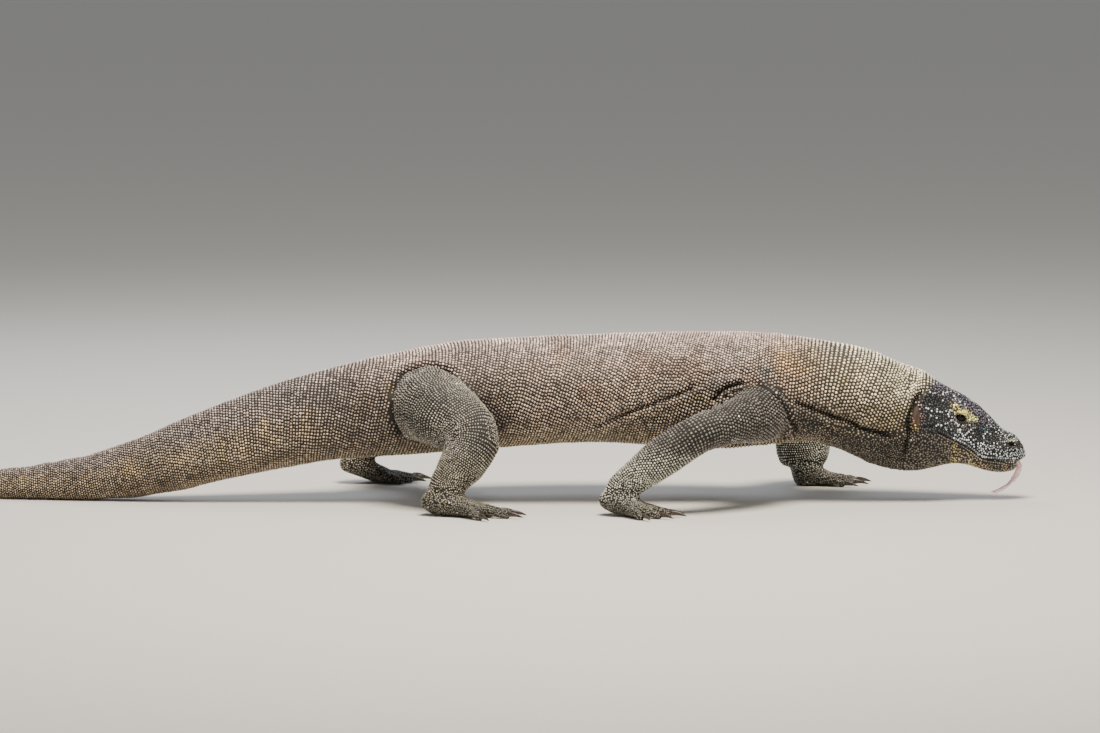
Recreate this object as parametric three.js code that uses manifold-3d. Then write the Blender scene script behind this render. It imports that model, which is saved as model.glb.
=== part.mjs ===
// A Komodo dragon at a walk, life size, as parted solids.
// Millimetres. +X runs towards the snout, +Y to the animal's left, +Z up, and the floor is z = 0.
// The right foreleg and the left hind leg reach back; the other two reach forward.
import * as THREE from "three";
import { mergeVertices } from "three/addons/utils/BufferGeometryUtils.js";
import Module from "manifold-3d";

const wasm = await Module();
wasm.setup();

// ---------------------------------------------------------------- driving sizes

const GAP = 0.3; // open joint between neighbouring pieces
const WELD = 1e-4; // vertices nearer than this are one
const CUTTER = 4000; // side of the large boxes that trim the pieces

const BODY_SIDES = 22; // points round a ring of the head, neck, trunk and tail
const FINE_STATIONS = [2, 7]; // between these a ring is added half way between stations

// Body stations from snout to tail tip. Each ring stands on the line between its lowest and its
// highest point: [top x, top z, bottom x, bottom z, half width, bend to the left].
const BODY_STATIONS = [
  [887, 86, 879, 66, 7, 0],
  [881, 104, 868, 57, 21, 0],
  [866, 123, 850, 52, 31, 0],
  [842, 134, 820, 53, 36, 0],
  [817, 160, 794, 60, 40, 0],
  [789, 186, 768, 68, 46, 0],
  [757, 206, 741, 69, 52, 0],
  [724, 223, 714, 63, 58, 0],
  [690, 245, 684, 56, 67, 0],
  [650, 261, 648, 55, 75, 1],
  [600, 283, 594, 66, 83, 2],
  [550, 296, 544, 92, 88, 2],
  [480, 308, 476, 113, 95, 3],
  [410, 318, 410, 106, 106, 6],
  [320, 320, 320, 97, 121, 12],
  [210, 318, 210, 103, 135, 21],
  [100, 315, 100, 108, 142, 25],
  [0, 311, 0, 107, 140, 23],
  [-100, 308, -100, 101, 131, 15],
  [-190, 303, -190, 95, 117, 6],
  [-270, 289, -272, 88, 103, -2],
  [-350, 276, -354, 84, 91, -9],
  [-430, 257, -438, 78, 80, -15],
  [-520, 232, -530, 62, 68, -20],
  [-615, 201, -625, 42, 56, -22],
  [-710, 163, -718, 20, 46, -22],
  [-800, 123, -806, 4, 38, -18],
  [-890, 90, -893, -1.5, 32, -11],
  [-1010, 66, -1012, -1.5, 27, 4],
  [-1150, 49, -1151, -1.4, 20, 25],
  [-1310, 33, -1310, -1.2, 14, 50],
  [-1470, 20, -1470, -0.9, 8.5, 74],
  [-1610, 7, -1610, -0.6, 3, 92],
];

// Outline of a ring: where it is widest, how square its two halves are, how far its top draws in.
const HEAD_OUTLINE = { level: 0.4, crown: 2.8, keel: 2.3, taper: 0.26 };
const TRUNK_OUTLINE = { level: 0.45, crown: 2.1, keel: 2.5, taper: 0.02 };
const TAIL_OUTLINE = { level: 0.4, crown: 1.9, keel: 2.3, taper: 0.14 };
const NAPE = [610, 715]; // the trunk's outline turns into the head's between these
const RUMP = [-520, -330]; // the tail's outline turns into the trunk's between these

// Muscle and bone that lift the skin, the same on both sides: centre, reach and height.
const SWELLINGS = [
  { at: [772, 37, 186], reach: 24, height: 6 }, // brow
  { at: [812, 30, 148], reach: 18, height: 3 }, // ridge before the eye
  { at: [857, 27, 114], reach: 15, height: 4 }, // nostril
  { at: [700, 64, 118], reach: 36, height: 8 }, // jaw muscle
  { at: [690, 40, 225], reach: 28, height: 4 }, // back of the skull
  { at: [350, 105, 240], reach: 60, height: 9 }, // shoulder blade
  { at: [-255, 85, 235], reach: 60, height: 7 }, // hip
];

// Where the body is parted, given as a place along the stations.
const PART_PLACES = { nape: 8.8, shoulder: 12.2, waist: 16.5, vent: 21, tail2: 24.6, tail3: 28.2, tail4: 30.3 };

// The line of the lips from the front to the corner of the mouth, as [x, z].
const LIP_FRONT = 910;
const LIP_LINE = [
  [LIP_FRONT, 76],
  [825, 77.5],
  [803, 81.5],
  [786, 93.5],
  [771, 105],
  [752, 115.5],
  [716, 132],
];
const JAW_HEEL = [694, 20]; // the lower jaw is parted from the corner of the mouth down to here
const JAW_STEP = [0.12, -0.34]; // how far the jaw's own cut stands off the head's
const JAW_FRONT = [869, 861]; // the jaw ends behind the upper lip: x at the lips and at the chin

const EYE = { at: [760, 34, 161], radius: 12.5 };
const EAR = { at: [676, 67.5, 169], radii: [7, 6.5, 22], lean: -0.12 };
const NOSTRIL = { at: [857, 27.5, 108], radii: [7, 5, 3.6], lean: 0.5 };

// Tongue: a flat strap that hangs from the lips and curls back under the chin, then forks.
const TONGUE_STOPS = [
  [842, 0, 78.5, 3, 4.8],
  [859, 0, 78, 3.7, 5],
  [872.5, 0, 71, 5, 5],
  [873.5, 0, 59, 5.4, 4.9],
  [869, 0, 47, 5.2, 4.7],
  [861.5, 0, 36, 4.6, 4.2],
];
const TONGUE_TINE = [
  [864.5, 1.9, 40, 3.6, 2.2],
  [852, 4.2, 26, 3.2, 2],
  [838, 8, 17.5, 2.1, 1.5],
  [822, 13, 11.5, 0.6, 0.6],
];

// Legs as two lengths, from inside the trunk to past the elbow or knee, and from there to the
// ankle: [x, y, z, radius fore and aft, radius across]. y is measured outwards on the leg's side.
const FORE_SPREAD = [30, 13, -3, -20, -44]; // degrees from the foot's heading, inner toe first
const FORE_TOES = [34, 48, 54, 50, 36];
const HIND_SPREAD = [24, 12, 1, -11, -46];
const HIND_TOES = [34, 50, 63, 70, 44];
const LEGS = {
  foreleg_right: {
    side: -1,
    upper: [
      [400, 40, 178, 56, 60],
      [374, 112, 174, 52, 56],
      [325, 178, 168, 45, 42],
      [262, 230, 153, 39, 38],
      [240, 244, 147, 24, 23],
    ],
    lower: [
      [280, 226, 166, 26, 26],
      [257, 230, 151, 38, 38],
      [190, 240, 109, 41, 39],
      [140, 243, 72, 35, 33],
      [99, 244, 43, 28, 28],
    ],
    joint: { at: [252, 232, 146], way: [-0.8, 0.1, -0.6] },
    foot: { length: 56, width: 40, heading: -14, spread: FORE_SPREAD, toes: FORE_TOES, claw: 27 },
  },
  foreleg_left: {
    side: 1,
    upper: [
      [392, 40, 182, 62, 62],
      [404, 112, 178, 57, 57],
      [430, 170, 172, 49, 46],
      [452, 210, 162, 43, 43],
      [458, 226, 157, 26, 28],
    ],
    lower: [
      [458, 207, 178, 32, 28],
      [466, 213, 150, 54, 43],
      [469, 219, 102, 57, 42],
      [471, 220, 66, 56, 38],
      [473, 219, 40, 47, 33],
    ],
    joint: { at: [456, 215, 133], way: [0.1, 0.25, -1] },
    foot: { length: 50, width: 41, heading: -10, spread: FORE_SPREAD, toes: FORE_TOES, claw: 27 },
  },
  hindleg_right: {
    side: -1,
    upper: [
      [-262, 35, 192, 72, 72],
      [-246, 95, 191, 78, 74],
      [-206, 156, 173, 70, 63],
      [-160, 206, 149, 52, 49],
      [-136, 230, 139, 30, 30],
    ],
    lower: [
      [-152, 200, 172, 30, 30],
      [-156, 212, 140, 50, 45],
      [-184, 232, 94, 47, 42],
      [-208, 241, 64, 37, 34],
      [-226, 245, 40, 31, 29],
    ],
    joint: { at: [-160, 218, 118], way: [-0.1, 0.35, -1] },
    foot: { length: 72, width: 42, heading: -8, spread: HIND_SPREAD, toes: HIND_TOES, claw: 25 },
  },
  hindleg_left: {
    side: 1,
    upper: [
      [-300, 35, 184, 72, 70],
      [-296, 95, 180, 74, 68],
      [-288, 160, 166, 63, 58],
      [-278, 208, 150, 48, 47],
      [-272, 232, 142, 28, 30],
    ],
    lower: [
      [-262, 212, 164, 28, 30],
      [-286, 218, 139, 46, 45],
      [-336, 234, 108, 43, 41],
      [-368, 241, 84, 35, 34],
      [-398, 245, 60, 29, 28],
    ],
    joint: { at: [-296, 221, 133], way: [-0.6, 0.3, -0.8] },
    foot: { length: 64, width: 41, heading: -16, spread: HIND_SPREAD, toes: HIND_TOES, claw: 25 },
  },
};
const ROUND_SIDES = 10; // sides of the eyeballs and of the hollows
const ROUND_RINGS = 6;
const LEG_SIDES = 10;
const LEG_RINGS = 4;
const INSTEP_RINGS = 3;
const TOE_SIDES = 6;
const CLAW_SIDES = 5;
const DIGIT_RINGS = 3;
const BALL_HEIGHT = 13; // middle of the ball of the foot above the floor
const TOE_TIP_HEIGHT = 6;
const TOE_TIP_RADIUS = 7.4;
const ANKLE_SHARE = 0.8; // how far down its lower length the foot is parted off

const COLOURS = {
  head: 0x5b5d60,
  jaw: 0x6e6353,
  neck: 0x9a8d76,
  trunk: 0x8d7f70,
  tail: 0x86796a,
  leg: 0x6b655d,
  foot: 0x585450,
  claw: 0x2a2522,
  eye: 0x120d0a,
  tongue: 0xd9a9a0,
};

// ---------------------------------------------------------------- solids

// A geometry as a manifold solid.
function solidOf(geometry) {
  const bare = geometry.clone();
  bare.deleteAttribute("normal");
  bare.deleteAttribute("uv");
  const merged = mergeVertices(bare, WELD);
  const mesh = new wasm.Mesh({
    numProp: 3,
    vertProperties: merged.attributes.position.array,
    triVerts: new Uint32Array(merged.index.array),
  });
  return new wasm.Manifold(mesh);
}

// A manifold solid as a flat-shaded geometry.
function geometryOf(solid) {
  const mesh = solid.getMesh();
  const positions = new Float32Array(mesh.numVert * 3);
  for (let i = 0; i < mesh.numVert; i += 1) {
    positions.set(mesh.vertProperties.subarray(i * mesh.numProp, i * mesh.numProp + 3), i * 3);
  }
  const indexed = new THREE.BufferGeometry();
  indexed.setAttribute("position", new THREE.BufferAttribute(positions, 3));
  indexed.setIndex(new THREE.BufferAttribute(mesh.triVerts, 1));
  const flat = indexed.toNonIndexed();
  flat.computeVertexNormals();
  return flat;
}

// A closed skin through rings of equal count. Each ring turns right-handed about the way it travels.
function loft(rings) {
  const count = rings[0].length;
  const points = rings.flat();
  const indices = [];
  for (let i = 0; i + 1 < rings.length; i += 1) {
    for (let j = 0; j < count; j += 1) {
      const a = i * count + j;
      const b = i * count + ((j + 1) % count);
      indices.push(a, b, b + count, a, b + count, a + count);
    }
  }
  const ends = [
    { ring: rings[0], first: 0, flip: true },
    { ring: rings.at(-1), first: (rings.length - 1) * count, flip: false },
  ];
  for (const end of ends) {
    const centre = new THREE.Vector3();
    end.ring.forEach((point) => centre.add(point));
    const hub = points.push(centre.divideScalar(count)) - 1;
    for (let j = 0; j < count; j += 1) {
      const a = end.first + j;
      const b = end.first + ((j + 1) % count);
      indices.push(hub, end.flip ? b : a, end.flip ? a : b);
    }
  }
  const geometry = new THREE.BufferGeometry().setFromPoints(points);
  geometry.setIndex(indices);
  return geometry;
}

// A curve through rows of numbers, three columns at a time.
function curveThrough(rows, columns) {
  const points = rows.map((row) => new THREE.Vector3(...columns.map((c) => (c === null ? 0 : row[c]))));
  return new THREE.CatmullRomCurve3(points, false, "catmullrom", 0.5);
}

// A limb, toe, claw or tongue: oval rings along a curve, their first radius lying along `upright`.
function tapered(stops, sides, rings, upright, grow = 0) {
  const path = curveThrough(stops, [0, 1, 2]);
  const sizes = curveThrough(stops, [3, 4, null]);
  const made = [];
  for (let i = 0; i <= rings; i += 1) {
    const share = i / rings;
    const centre = path.getPoint(share);
    const along = path.getTangent(share);
    const size = sizes.getPoint(share);
    const tall = upright.clone().addScaledVector(along, -upright.dot(along)).normalize();
    const wide = tall.clone().cross(along).normalize();
    const ring = [];
    for (let j = 0; j < sides; j += 1) {
      const turn = (j / sides) * 2 * Math.PI;
      const point = centre.clone();
      point.addScaledVector(wide, Math.cos(turn) * (size.y + grow));
      point.addScaledVector(tall, Math.sin(turn) * (size.x + grow));
      ring.push(point);
    }
    made.push(ring);
  }
  return solidOf(loft(made));
}

// A large box whose one face passes through a point, half a gap back, and which fills the side
// that `normal` points to.
function beyond(point, normal) {
  const box = new THREE.BoxGeometry(CUTTER, CUTTER, CUTTER);
  box.translate(0, 0, (CUTTER - GAP) / 2);
  const turn = new THREE.Quaternion().setFromUnitVectors(new THREE.Vector3(0, 0, 1), normal);
  box.applyQuaternion(turn);
  box.translate(point.x, point.y, point.z);
  return solidOf(box);
}

// The two sides of a solid parted at a plane, with the gap between them.
function parted(solid, point, normal) {
  return {
    before: solid.subtract(beyond(point, normal)),
    after: solid.subtract(beyond(point, normal.clone().negate())),
  };
}

// An ellipsoid cutter leaned about the Y axis.
function hollow(radii, at, lean) {
  const ball = new THREE.SphereGeometry(1, ROUND_SIDES, ROUND_RINGS);
  ball.scale(...radii);
  ball.rotateY(lean);
  ball.translate(...at);
  return solidOf(ball);
}

// Everything below the floor.
function belowFloor() {
  const slab = new THREE.BoxGeometry(CUTTER, CUTTER, CUTTER);
  slab.translate(0, 0, -CUTTER / 2);
  return solidOf(slab);
}

const FLOOR_CUTTER = belowFloor();

// ---------------------------------------------------------------- body

const topCurve = curveThrough(BODY_STATIONS, [0, 5, 1]);
const bottomCurve = curveThrough(BODY_STATIONS, [2, 5, 3]);
const widthCurve = curveThrough(BODY_STATIONS, [4, null, null]);
const LAST_STATION = BODY_STATIONS.length - 1;

// Where one ring of the body stands: its ends, its half width and the way the body runs there.
function bodyFrame(place) {
  const share = THREE.MathUtils.clamp(place / LAST_STATION, 0, 1);
  const top = topCurve.getPoint(share);
  const bottom = bottomCurve.getPoint(share);
  const along = topCurve.getTangent(share).add(bottomCurve.getTangent(share)).normalize();
  return { top, bottom, along, half: widthCurve.getPoint(share).x };
}

// The ring's outline, mixed from the head's, the trunk's and the tail's by where it stands.
function outlineAt(x) {
  const head = THREE.MathUtils.smoothstep(x, ...NAPE);
  const tail = 1 - THREE.MathUtils.smoothstep(x, ...RUMP);
  const mix = {};
  for (const key of Object.keys(TRUNK_OUTLINE)) {
    const rest = 1 - head - tail;
    mix[key] = HEAD_OUTLINE[key] * head + TAIL_OUTLINE[key] * tail + TRUNK_OUTLINE[key] * rest;
  }
  return mix;
}

// How far muscle and bone lift the skin at a point.
function swellingAt(point, bend) {
  const mirrored = new THREE.Vector3(point.x, Math.abs(point.y - bend), point.z);
  let lift = 0;
  for (const { at, reach, height } of SWELLINGS) {
    const distance = mirrored.distanceTo(new THREE.Vector3(...at));
    lift += height * Math.exp(-((distance / reach) ** 2));
  }
  return lift;
}

function bodyRing(place, grow) {
  const frame = bodyFrame(place);
  const up = frame.top.clone().sub(frame.bottom);
  const height = up.length();
  up.normalize();
  const right = up.clone().cross(frame.along).normalize();
  const outline = outlineAt(frame.top.x);
  const middle = frame.bottom.clone().addScaledVector(up, height * outline.level);
  const ring = [];
  for (let j = 0; j < BODY_SIDES; j += 1) {
    const turn = ((j + 0.5) / BODY_SIDES) * 2 * Math.PI;
    const rise = Math.sin(turn);
    const reach = Math.cos(turn);
    const power = rise >= 0 ? outline.crown : outline.keel;
    const tall = rise >= 0 ? height * (1 - outline.level) : height * outline.level;
    const lift = Math.sign(rise) * Math.abs(rise) ** (2 / power);
    const drawn = 1 - outline.taper * Math.max(lift, 0);
    const across = Math.sign(reach) * Math.abs(reach) ** (2 / power) * frame.half * drawn;
    const offset = right.clone().multiplyScalar(across).addScaledVector(up, lift * tall);
    const outward = offset.clone().normalize();
    const point = middle.clone().add(offset);
    point.addScaledVector(outward, swellingAt(point, frame.top.y) + grow);
    ring.push(point);
  }
  return ring;
}

// The body from snout to tail tip as one solid, standing out by `grow` all round.
function wholeBody(grow) {
  const rings = [];
  const [from, to] = FINE_STATIONS;
  for (let place = 0; place <= LAST_STATION; place += place >= from && place < to ? 0.5 : 1) {
    rings.push(bodyRing(place, grow));
  }
  return solidOf(loft(rings));
}

// The body's lengths from the head backwards, keyed by node.
function bodyLengths() {
  const names = ["skull", "neck", "trunk_front", "trunk_rear", "tail_1", "tail_2", "tail_3", "tail_4"];
  const lengths = {};
  let rest = wholeBody(0).subtract(FLOOR_CUTTER);
  Object.values(PART_PLACES).forEach((place, i) => {
    const frame = bodyFrame(place);
    const middle = frame.top.clone().add(frame.bottom).divideScalar(2);
    const halves = parted(rest, middle, frame.along);
    lengths[names[i]] = halves.before;
    rest = halves.after;
  });
  lengths[names.at(-1)] = rest;
  return lengths;
}

// ---------------------------------------------------------------- head

// The space below the line of the lips, from the jaw's heel to `front`, moved by `step`.
function jawSpace(front, step) {
  const [first, ...others] = LIP_LINE;
  const line = [[front[0], first[1]], ...others, JAW_HEEL, [front[1], JAW_HEEL[1]]];
  const shape = new THREE.Shape(line.map(([x, z]) => new THREE.Vector2(x + step[0], z + step[1])));
  const wide = 400;
  const slab = new THREE.ExtrudeGeometry(shape, { depth: wide, bevelEnabled: false });
  slab.rotateX(Math.PI / 2);
  slab.translate(0, wide / 2, 0);
  return solidOf(slab);
}

function tongueSolid(grow) {
  const up = new THREE.Vector3(0.7, 0, 0.7);
  let tongue = tapered(TONGUE_STOPS, 6, 6, up, grow);
  for (const side of [-1, 1]) {
    const tine = TONGUE_TINE.map(([x, y, z, ...radii]) => [x, y * side, z, ...radii]);
    tongue = tongue.add(tapered(tine, 5, 3, up, grow));
  }
  return tongue;
}

// The head, the lower jaw, the tongue and the eyes.
function headSolids(skull) {
  const solids = {};
  let carved = skull.subtract(tongueSolid(GAP));
  for (const side of [-1, 1]) {
    const place = ([x, y, z]) => [x, y * side, z];
    const socket = EYE.radius + GAP;
    carved = carved.subtract(hollow([socket, socket, socket], place(EYE.at), 0));
    carved = carved.subtract(hollow(EAR.radii, place(EAR.at), EAR.lean));
    carved = carved.subtract(hollow(NOSTRIL.radii, place(NOSTRIL.at), NOSTRIL.lean));
    const name = side < 0 ? "eye_right" : "eye_left";
    solids[name] = hollow([EYE.radius, EYE.radius, EYE.radius], place(EYE.at), 0);
  }
  solids.head = carved.subtract(jawSpace([LIP_FRONT, LIP_FRONT], [0, 0]));
  solids.lower_jaw = carved.intersect(jawSpace(JAW_FRONT, JAW_STEP));
  solids.tongue = tongueSolid(0);
  return solids;
}

// ---------------------------------------------------------------- legs

const WORLD_X = new THREE.Vector3(1, 0, 0);
const WORLD_Z = new THREE.Vector3(0, 0, 1);

// A level direction, turned outwards from straight ahead by an angle in degrees.
function headingOf(degrees, side) {
  const turn = THREE.MathUtils.degToRad(degrees);
  return new THREE.Vector3(Math.cos(turn), -side * Math.sin(turn), 0);
}

// Where each toe of a foot springs from, which way it points and how long it is.
function toesOf(leg) {
  const { foot, side, lower } = leg;
  const ankle = lower.at(-1);
  const ahead = headingOf(foot.heading, side);
  const across = headingOf(foot.heading + 90, side);
  const ball = new THREE.Vector3(ankle[0], ankle[1] * side, BALL_HEIGHT);
  ball.addScaledVector(ahead, foot.length);
  return foot.toes.map((length, i) => {
    const inward = 1 - i / 2;
    const root = ball.clone();
    root.addScaledVector(across, inward * foot.width * 0.72);
    root.addScaledVector(ahead, -Math.abs(inward) * foot.width * 0.3 - 8);
    return { root, way: headingOf(foot.heading + foot.spread[i], side), length: length + 12 };
  });
}

function toeSolid({ root, way, length }) {
  const at = (share, z) => root.clone().addScaledVector(way, length * share).setZ(z).toArray();
  const stops = [
    [...at(0, BALL_HEIGHT), 11, 11],
    [...at(0.45, 13.5), 9.8, 9.8],
    [...at(0.85, TOE_TIP_HEIGHT + 0.4), 8.2, 8.4],
    [...at(1, TOE_TIP_HEIGHT), TOE_TIP_RADIUS, TOE_TIP_RADIUS],
  ];
  return tapered(stops, TOE_SIDES, DIGIT_RINGS, WORLD_Z);
}

// A claw that arches off the end of its toe and stops just above the floor.
function clawSolid({ root, way, length }, size) {
  const tip = root.clone().addScaledVector(way, length);
  const at = (share, z) => tip.clone().addScaledVector(way, 2 * GAP + size * share).setZ(z).toArray();
  const stops = [
    [...at(0, 8.2), 4.8, 4.2],
    [...at(0.36, 8.2), 4.3, 3.4],
    [...at(0.72, 6.6), 2.9, 2.1],
    [...at(1, 3), 0.6, 0.6],
  ];
  return tapered(stops, CLAW_SIDES, DIGIT_RINGS, WORLD_Z);
}

// The instep and ball of the foot, from the ankle forwards.
function instepSolid(leg) {
  const { foot, side, lower } = leg;
  const [x, y, z, deep, wide] = lower.at(-1);
  const ahead = headingOf(foot.heading, side);
  const ankle = new THREE.Vector3(x, y * side, z);
  const at = (share, height) => ankle.clone().addScaledVector(ahead, foot.length * share).setZ(height);
  const stops = [
    [...at(-0.46, z * 0.62).toArray(), deep * 0.42, wide * 0.55],
    [...at(-0.28, z * 0.67).toArray(), deep * 0.8, wide * 0.84],
    [...at(0, z * 0.72).toArray(), deep, wide],
    [...at(0.5, z * 0.25 + 9).toArray(), 20.5, foot.width * 0.86],
    [...at(0.95, BALL_HEIGHT).toArray(), 15.5, foot.width],
    [...at(1.2, BALL_HEIGHT - 1).toArray(), 9, foot.width * 0.8],
  ];
  return tapered(stops, LEG_SIDES, INSTEP_RINGS, WORLD_Z);
}

// One leg as an upper length, a lower length and a foot, with its claws.
function legSolids(name, leg, bodyCutter) {
  const solids = {};
  const sided = (stops) => stops.map(([x, y, ...rest]) => [x, y * leg.side, ...rest]);
  const lower = sided(leg.lower);
  let whole = tapered(sided(leg.upper), LEG_SIDES, LEG_RINGS, WORLD_X);
  whole = whole.add(tapered(lower, LEG_SIDES, LEG_RINGS, WORLD_X));
  whole = whole.add(instepSolid(leg));
  const toes = toesOf(leg);
  toes.forEach((toe) => {
    whole = whole.add(toeSolid(toe));
  });
  whole = whole.subtract(bodyCutter).subtract(FLOOR_CUTTER);
  const joint = new THREE.Vector3(...sided([leg.joint.at])[0]);
  const way = new THREE.Vector3(...sided([leg.joint.way])[0]).normalize();
  const knee = parted(whole, joint, way);
  const shin = curveThrough(lower, [0, 1, 2]);
  const turned = shin.getTangent(1).add(headingOf(leg.foot.heading, leg.side)).normalize();
  const ankle = parted(knee.after, shin.getPoint(ANKLE_SHARE), turned);
  solids[`${name}_upper`] = knee.before;
  solids[`${name}_lower`] = ankle.before;
  solids[`${name}_foot`] = ankle.after;
  toes.forEach((toe, i) => {
    solids[`${name}_claw_${i + 1}`] = clawSolid(toe, leg.foot.claw);
  });
  return solids;
}

// ---------------------------------------------------------------- assembly

function hide(colour) {
  return new THREE.MeshStandardMaterial({ color: colour, roughness: 0.82, metalness: 0 });
}

function horn() {
  return new THREE.MeshStandardMaterial({ color: COLOURS.claw, roughness: 0.42, metalness: 0 });
}

function cornea() {
  return new THREE.MeshStandardMaterial({ color: COLOURS.eye, roughness: 0.08, metalness: 0 });
}

function wetFlesh() {
  return new THREE.MeshStandardMaterial({ color: COLOURS.tongue, roughness: 0.35, metalness: 0 });
}

// The finish of a node, told by its name.
function materialFor(name) {
  if (name.includes("claw")) return horn();
  if (name.startsWith("eye")) return cornea();
  if (name === "tongue") return wetFlesh();
  if (name === "lower_jaw") return hide(COLOURS.jaw);
  if (name.endsWith("foot")) return hide(COLOURS.foot);
  if (name.includes("leg")) return hide(COLOURS.leg);
  return hide(COLOURS[name.split("_")[0]]);
}

function buildDragon() {
  const { skull, ...lengths } = bodyLengths();
  const bodyCutter = wholeBody(GAP);
  const solids = { ...headSolids(skull), ...lengths };
  for (const [name, leg] of Object.entries(LEGS)) {
    Object.assign(solids, legSolids(name, leg, bodyCutter));
  }
  const dragon = new THREE.Group();
  dragon.name = "komodo_dragon";
  for (const [name, solid] of Object.entries(solids)) {
    const mesh = new THREE.Mesh(geometryOf(solid), materialFor(name));
    mesh.name = name;
    dragon.add(mesh);
  }
  return dragon;
}

// The origin is the middle of the animal's footprint on the floor.
function centreOnFloor(dragon) {
  const box = new THREE.Box3().setFromObject(dragon);
  const middle = box.getCenter(new THREE.Vector3());
  dragon.children.forEach((mesh) => mesh.geometry.translate(-middle.x, -middle.y, -box.min.z));
}

const group = buildDragon();
centreOnFloor(group);

export default group;
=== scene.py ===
"""A walking Komodo dragon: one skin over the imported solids, a coat of bead scales, eyes, claws, tongue."""

import heapq
import logging
import math
from dataclasses import dataclass, field, fields
from enum import Enum

import bpy
import numpy as np
from bpy.types import ID, Material, Mesh, Node, NodeSocket, NodeTree, Object
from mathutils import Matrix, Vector
from mathutils.bvhtree import BVHTree
from mathutils.kdtree import KDTree


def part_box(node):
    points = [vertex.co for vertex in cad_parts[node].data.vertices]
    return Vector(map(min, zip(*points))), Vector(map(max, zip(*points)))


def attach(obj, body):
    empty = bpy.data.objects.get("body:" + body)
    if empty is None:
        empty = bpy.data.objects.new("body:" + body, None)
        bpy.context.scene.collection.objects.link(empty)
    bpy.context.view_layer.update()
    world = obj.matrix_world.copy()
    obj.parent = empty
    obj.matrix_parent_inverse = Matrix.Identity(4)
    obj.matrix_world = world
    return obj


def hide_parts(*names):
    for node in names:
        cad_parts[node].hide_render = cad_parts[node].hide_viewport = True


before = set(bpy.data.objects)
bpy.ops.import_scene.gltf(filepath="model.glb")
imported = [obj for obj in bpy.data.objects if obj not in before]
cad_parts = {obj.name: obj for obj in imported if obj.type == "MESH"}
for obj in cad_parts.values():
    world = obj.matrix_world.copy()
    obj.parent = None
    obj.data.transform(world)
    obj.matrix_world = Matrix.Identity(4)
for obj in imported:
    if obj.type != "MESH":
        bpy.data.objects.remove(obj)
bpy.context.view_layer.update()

LOG = logging.getLogger("dragon")
SEED = 7
MM = 0.001
SNOUT_MM = 887.33  # the snout's tip in the animal's own millimetres
MIRROR = np.array([1, -1, 1])  # turns a place on one flank to the other

Array = np.ndarray  # one number each
Rows = np.ndarray  # rows of x, y, z, or of linear red, green and blue
Shape = tuple[Rows, Array]  # points and triangles

# --- helpers


def linear(code: str) -> tuple[float, float, float, float]:
    """An sRGB hex colour, "#rrggbb", as linear RGBA."""
    parts = [int(code[i : i + 2], 16) / 255 for i in (1, 3, 5)]
    return (*(c / 12.92 if c <= 0.04045 else ((c + 0.055) / 1.055) ** 2.4 for c in parts), 1.0)


def rgb(code: str) -> Array:
    """The same colour as an array of three linear numbers."""
    return np.array(linear(code)[:3])


def smoothstep(values: Array, low: float | Array, high: float | Array) -> Array:
    """A smooth rise from 0 at `low` to 1 at `high`; `low` may be the larger."""
    share = np.clip((values - low) / (high - low), 0, 1)
    return share * share * (3 - 2 * share)


def mix(first: Rows, second: Rows, share: Array) -> Rows:
    """Rows, or one row, turned towards others by a share from 0 to 1 each."""
    return first + (second - first) * np.asarray(share)[:, None]


def unit(rows: Rows) -> Rows:
    """Rows scaled to length one."""
    return rows / np.maximum(np.linalg.norm(rows, axis=1, keepdims=True), 1e-12)


def oval(points: Rows, middle: Rows | tuple[float, ...], half: tuple[float, ...]) -> Array:
    """How far points lie from an oval's middle, where 1 is its surface and `half` its half sizes."""
    return np.linalg.norm((points - np.array(middle)) / np.array(half), axis=1)


def hill(reach: Array, middle: float = 0.0, width: float = 1.0) -> Array:
    """A soft hill of height 1 round `middle`."""
    return np.exp(-(((reach - middle) / width) ** 2))


def lattice(cells: Rows, seed: int) -> Array:
    """A repeatable random number from 0 to 1 for each whole-number cell.

    Args:
        cells: rows of three whole numbers.
        seed: which field of numbers to read.

    Returns:
        One number for each row.
    """
    x, y, z = cells.astype(np.int64).astype(np.uint64).T
    mixed = x * np.uint64(73856093) ^ y * np.uint64(19349663) ^ z * np.uint64(83492791)
    mixed = (mixed + np.uint64(seed * 7919 + 1)) * np.uint64(2654435761)
    mixed ^= mixed >> np.uint64(15)
    mixed *= np.uint64(2246822519)
    mixed ^= mixed >> np.uint64(13)
    return (mixed & np.uint64(0xFFFFFF)).astype(float) / 0xFFFFFF


def noise(points: Rows, size: float, seed: int) -> Array:
    """Smooth value noise.

    Args:
        points: places in millimetres.
        size: the blotch size in millimetres.
        seed: which field to read.

    Returns:
        A number from 0 to 1 for each point.
    """
    scaled = points / size + 1000.0
    base = np.floor(scaled)
    part = scaled - base
    part = part * part * (3 - 2 * part)
    total = np.zeros(len(points))
    for corner in range(8):
        step = np.array([corner & 1, corner >> 1 & 1, corner >> 2 & 1])
        total += np.prod(np.where(step, part, 1 - part), axis=1) * lattice(base + step, seed)
    return total


def spans(line: Rows) -> Array:
    """The lengths of a line's straight pieces."""
    return np.linalg.norm(np.diff(line, axis=0), axis=1)


def summed(steps: Array) -> Array:
    """Steps added up, from 0."""
    return np.concatenate([[0], np.cumsum(steps)])


def read_line(walked: Array, marks: Array, line: Rows) -> Rows:
    """Places on a line at some lengths along it, where `marks` are its own points' lengths."""
    return np.stack([np.interp(walked, marks, line[:, k]) for k in range(3)], axis=1)


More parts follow.
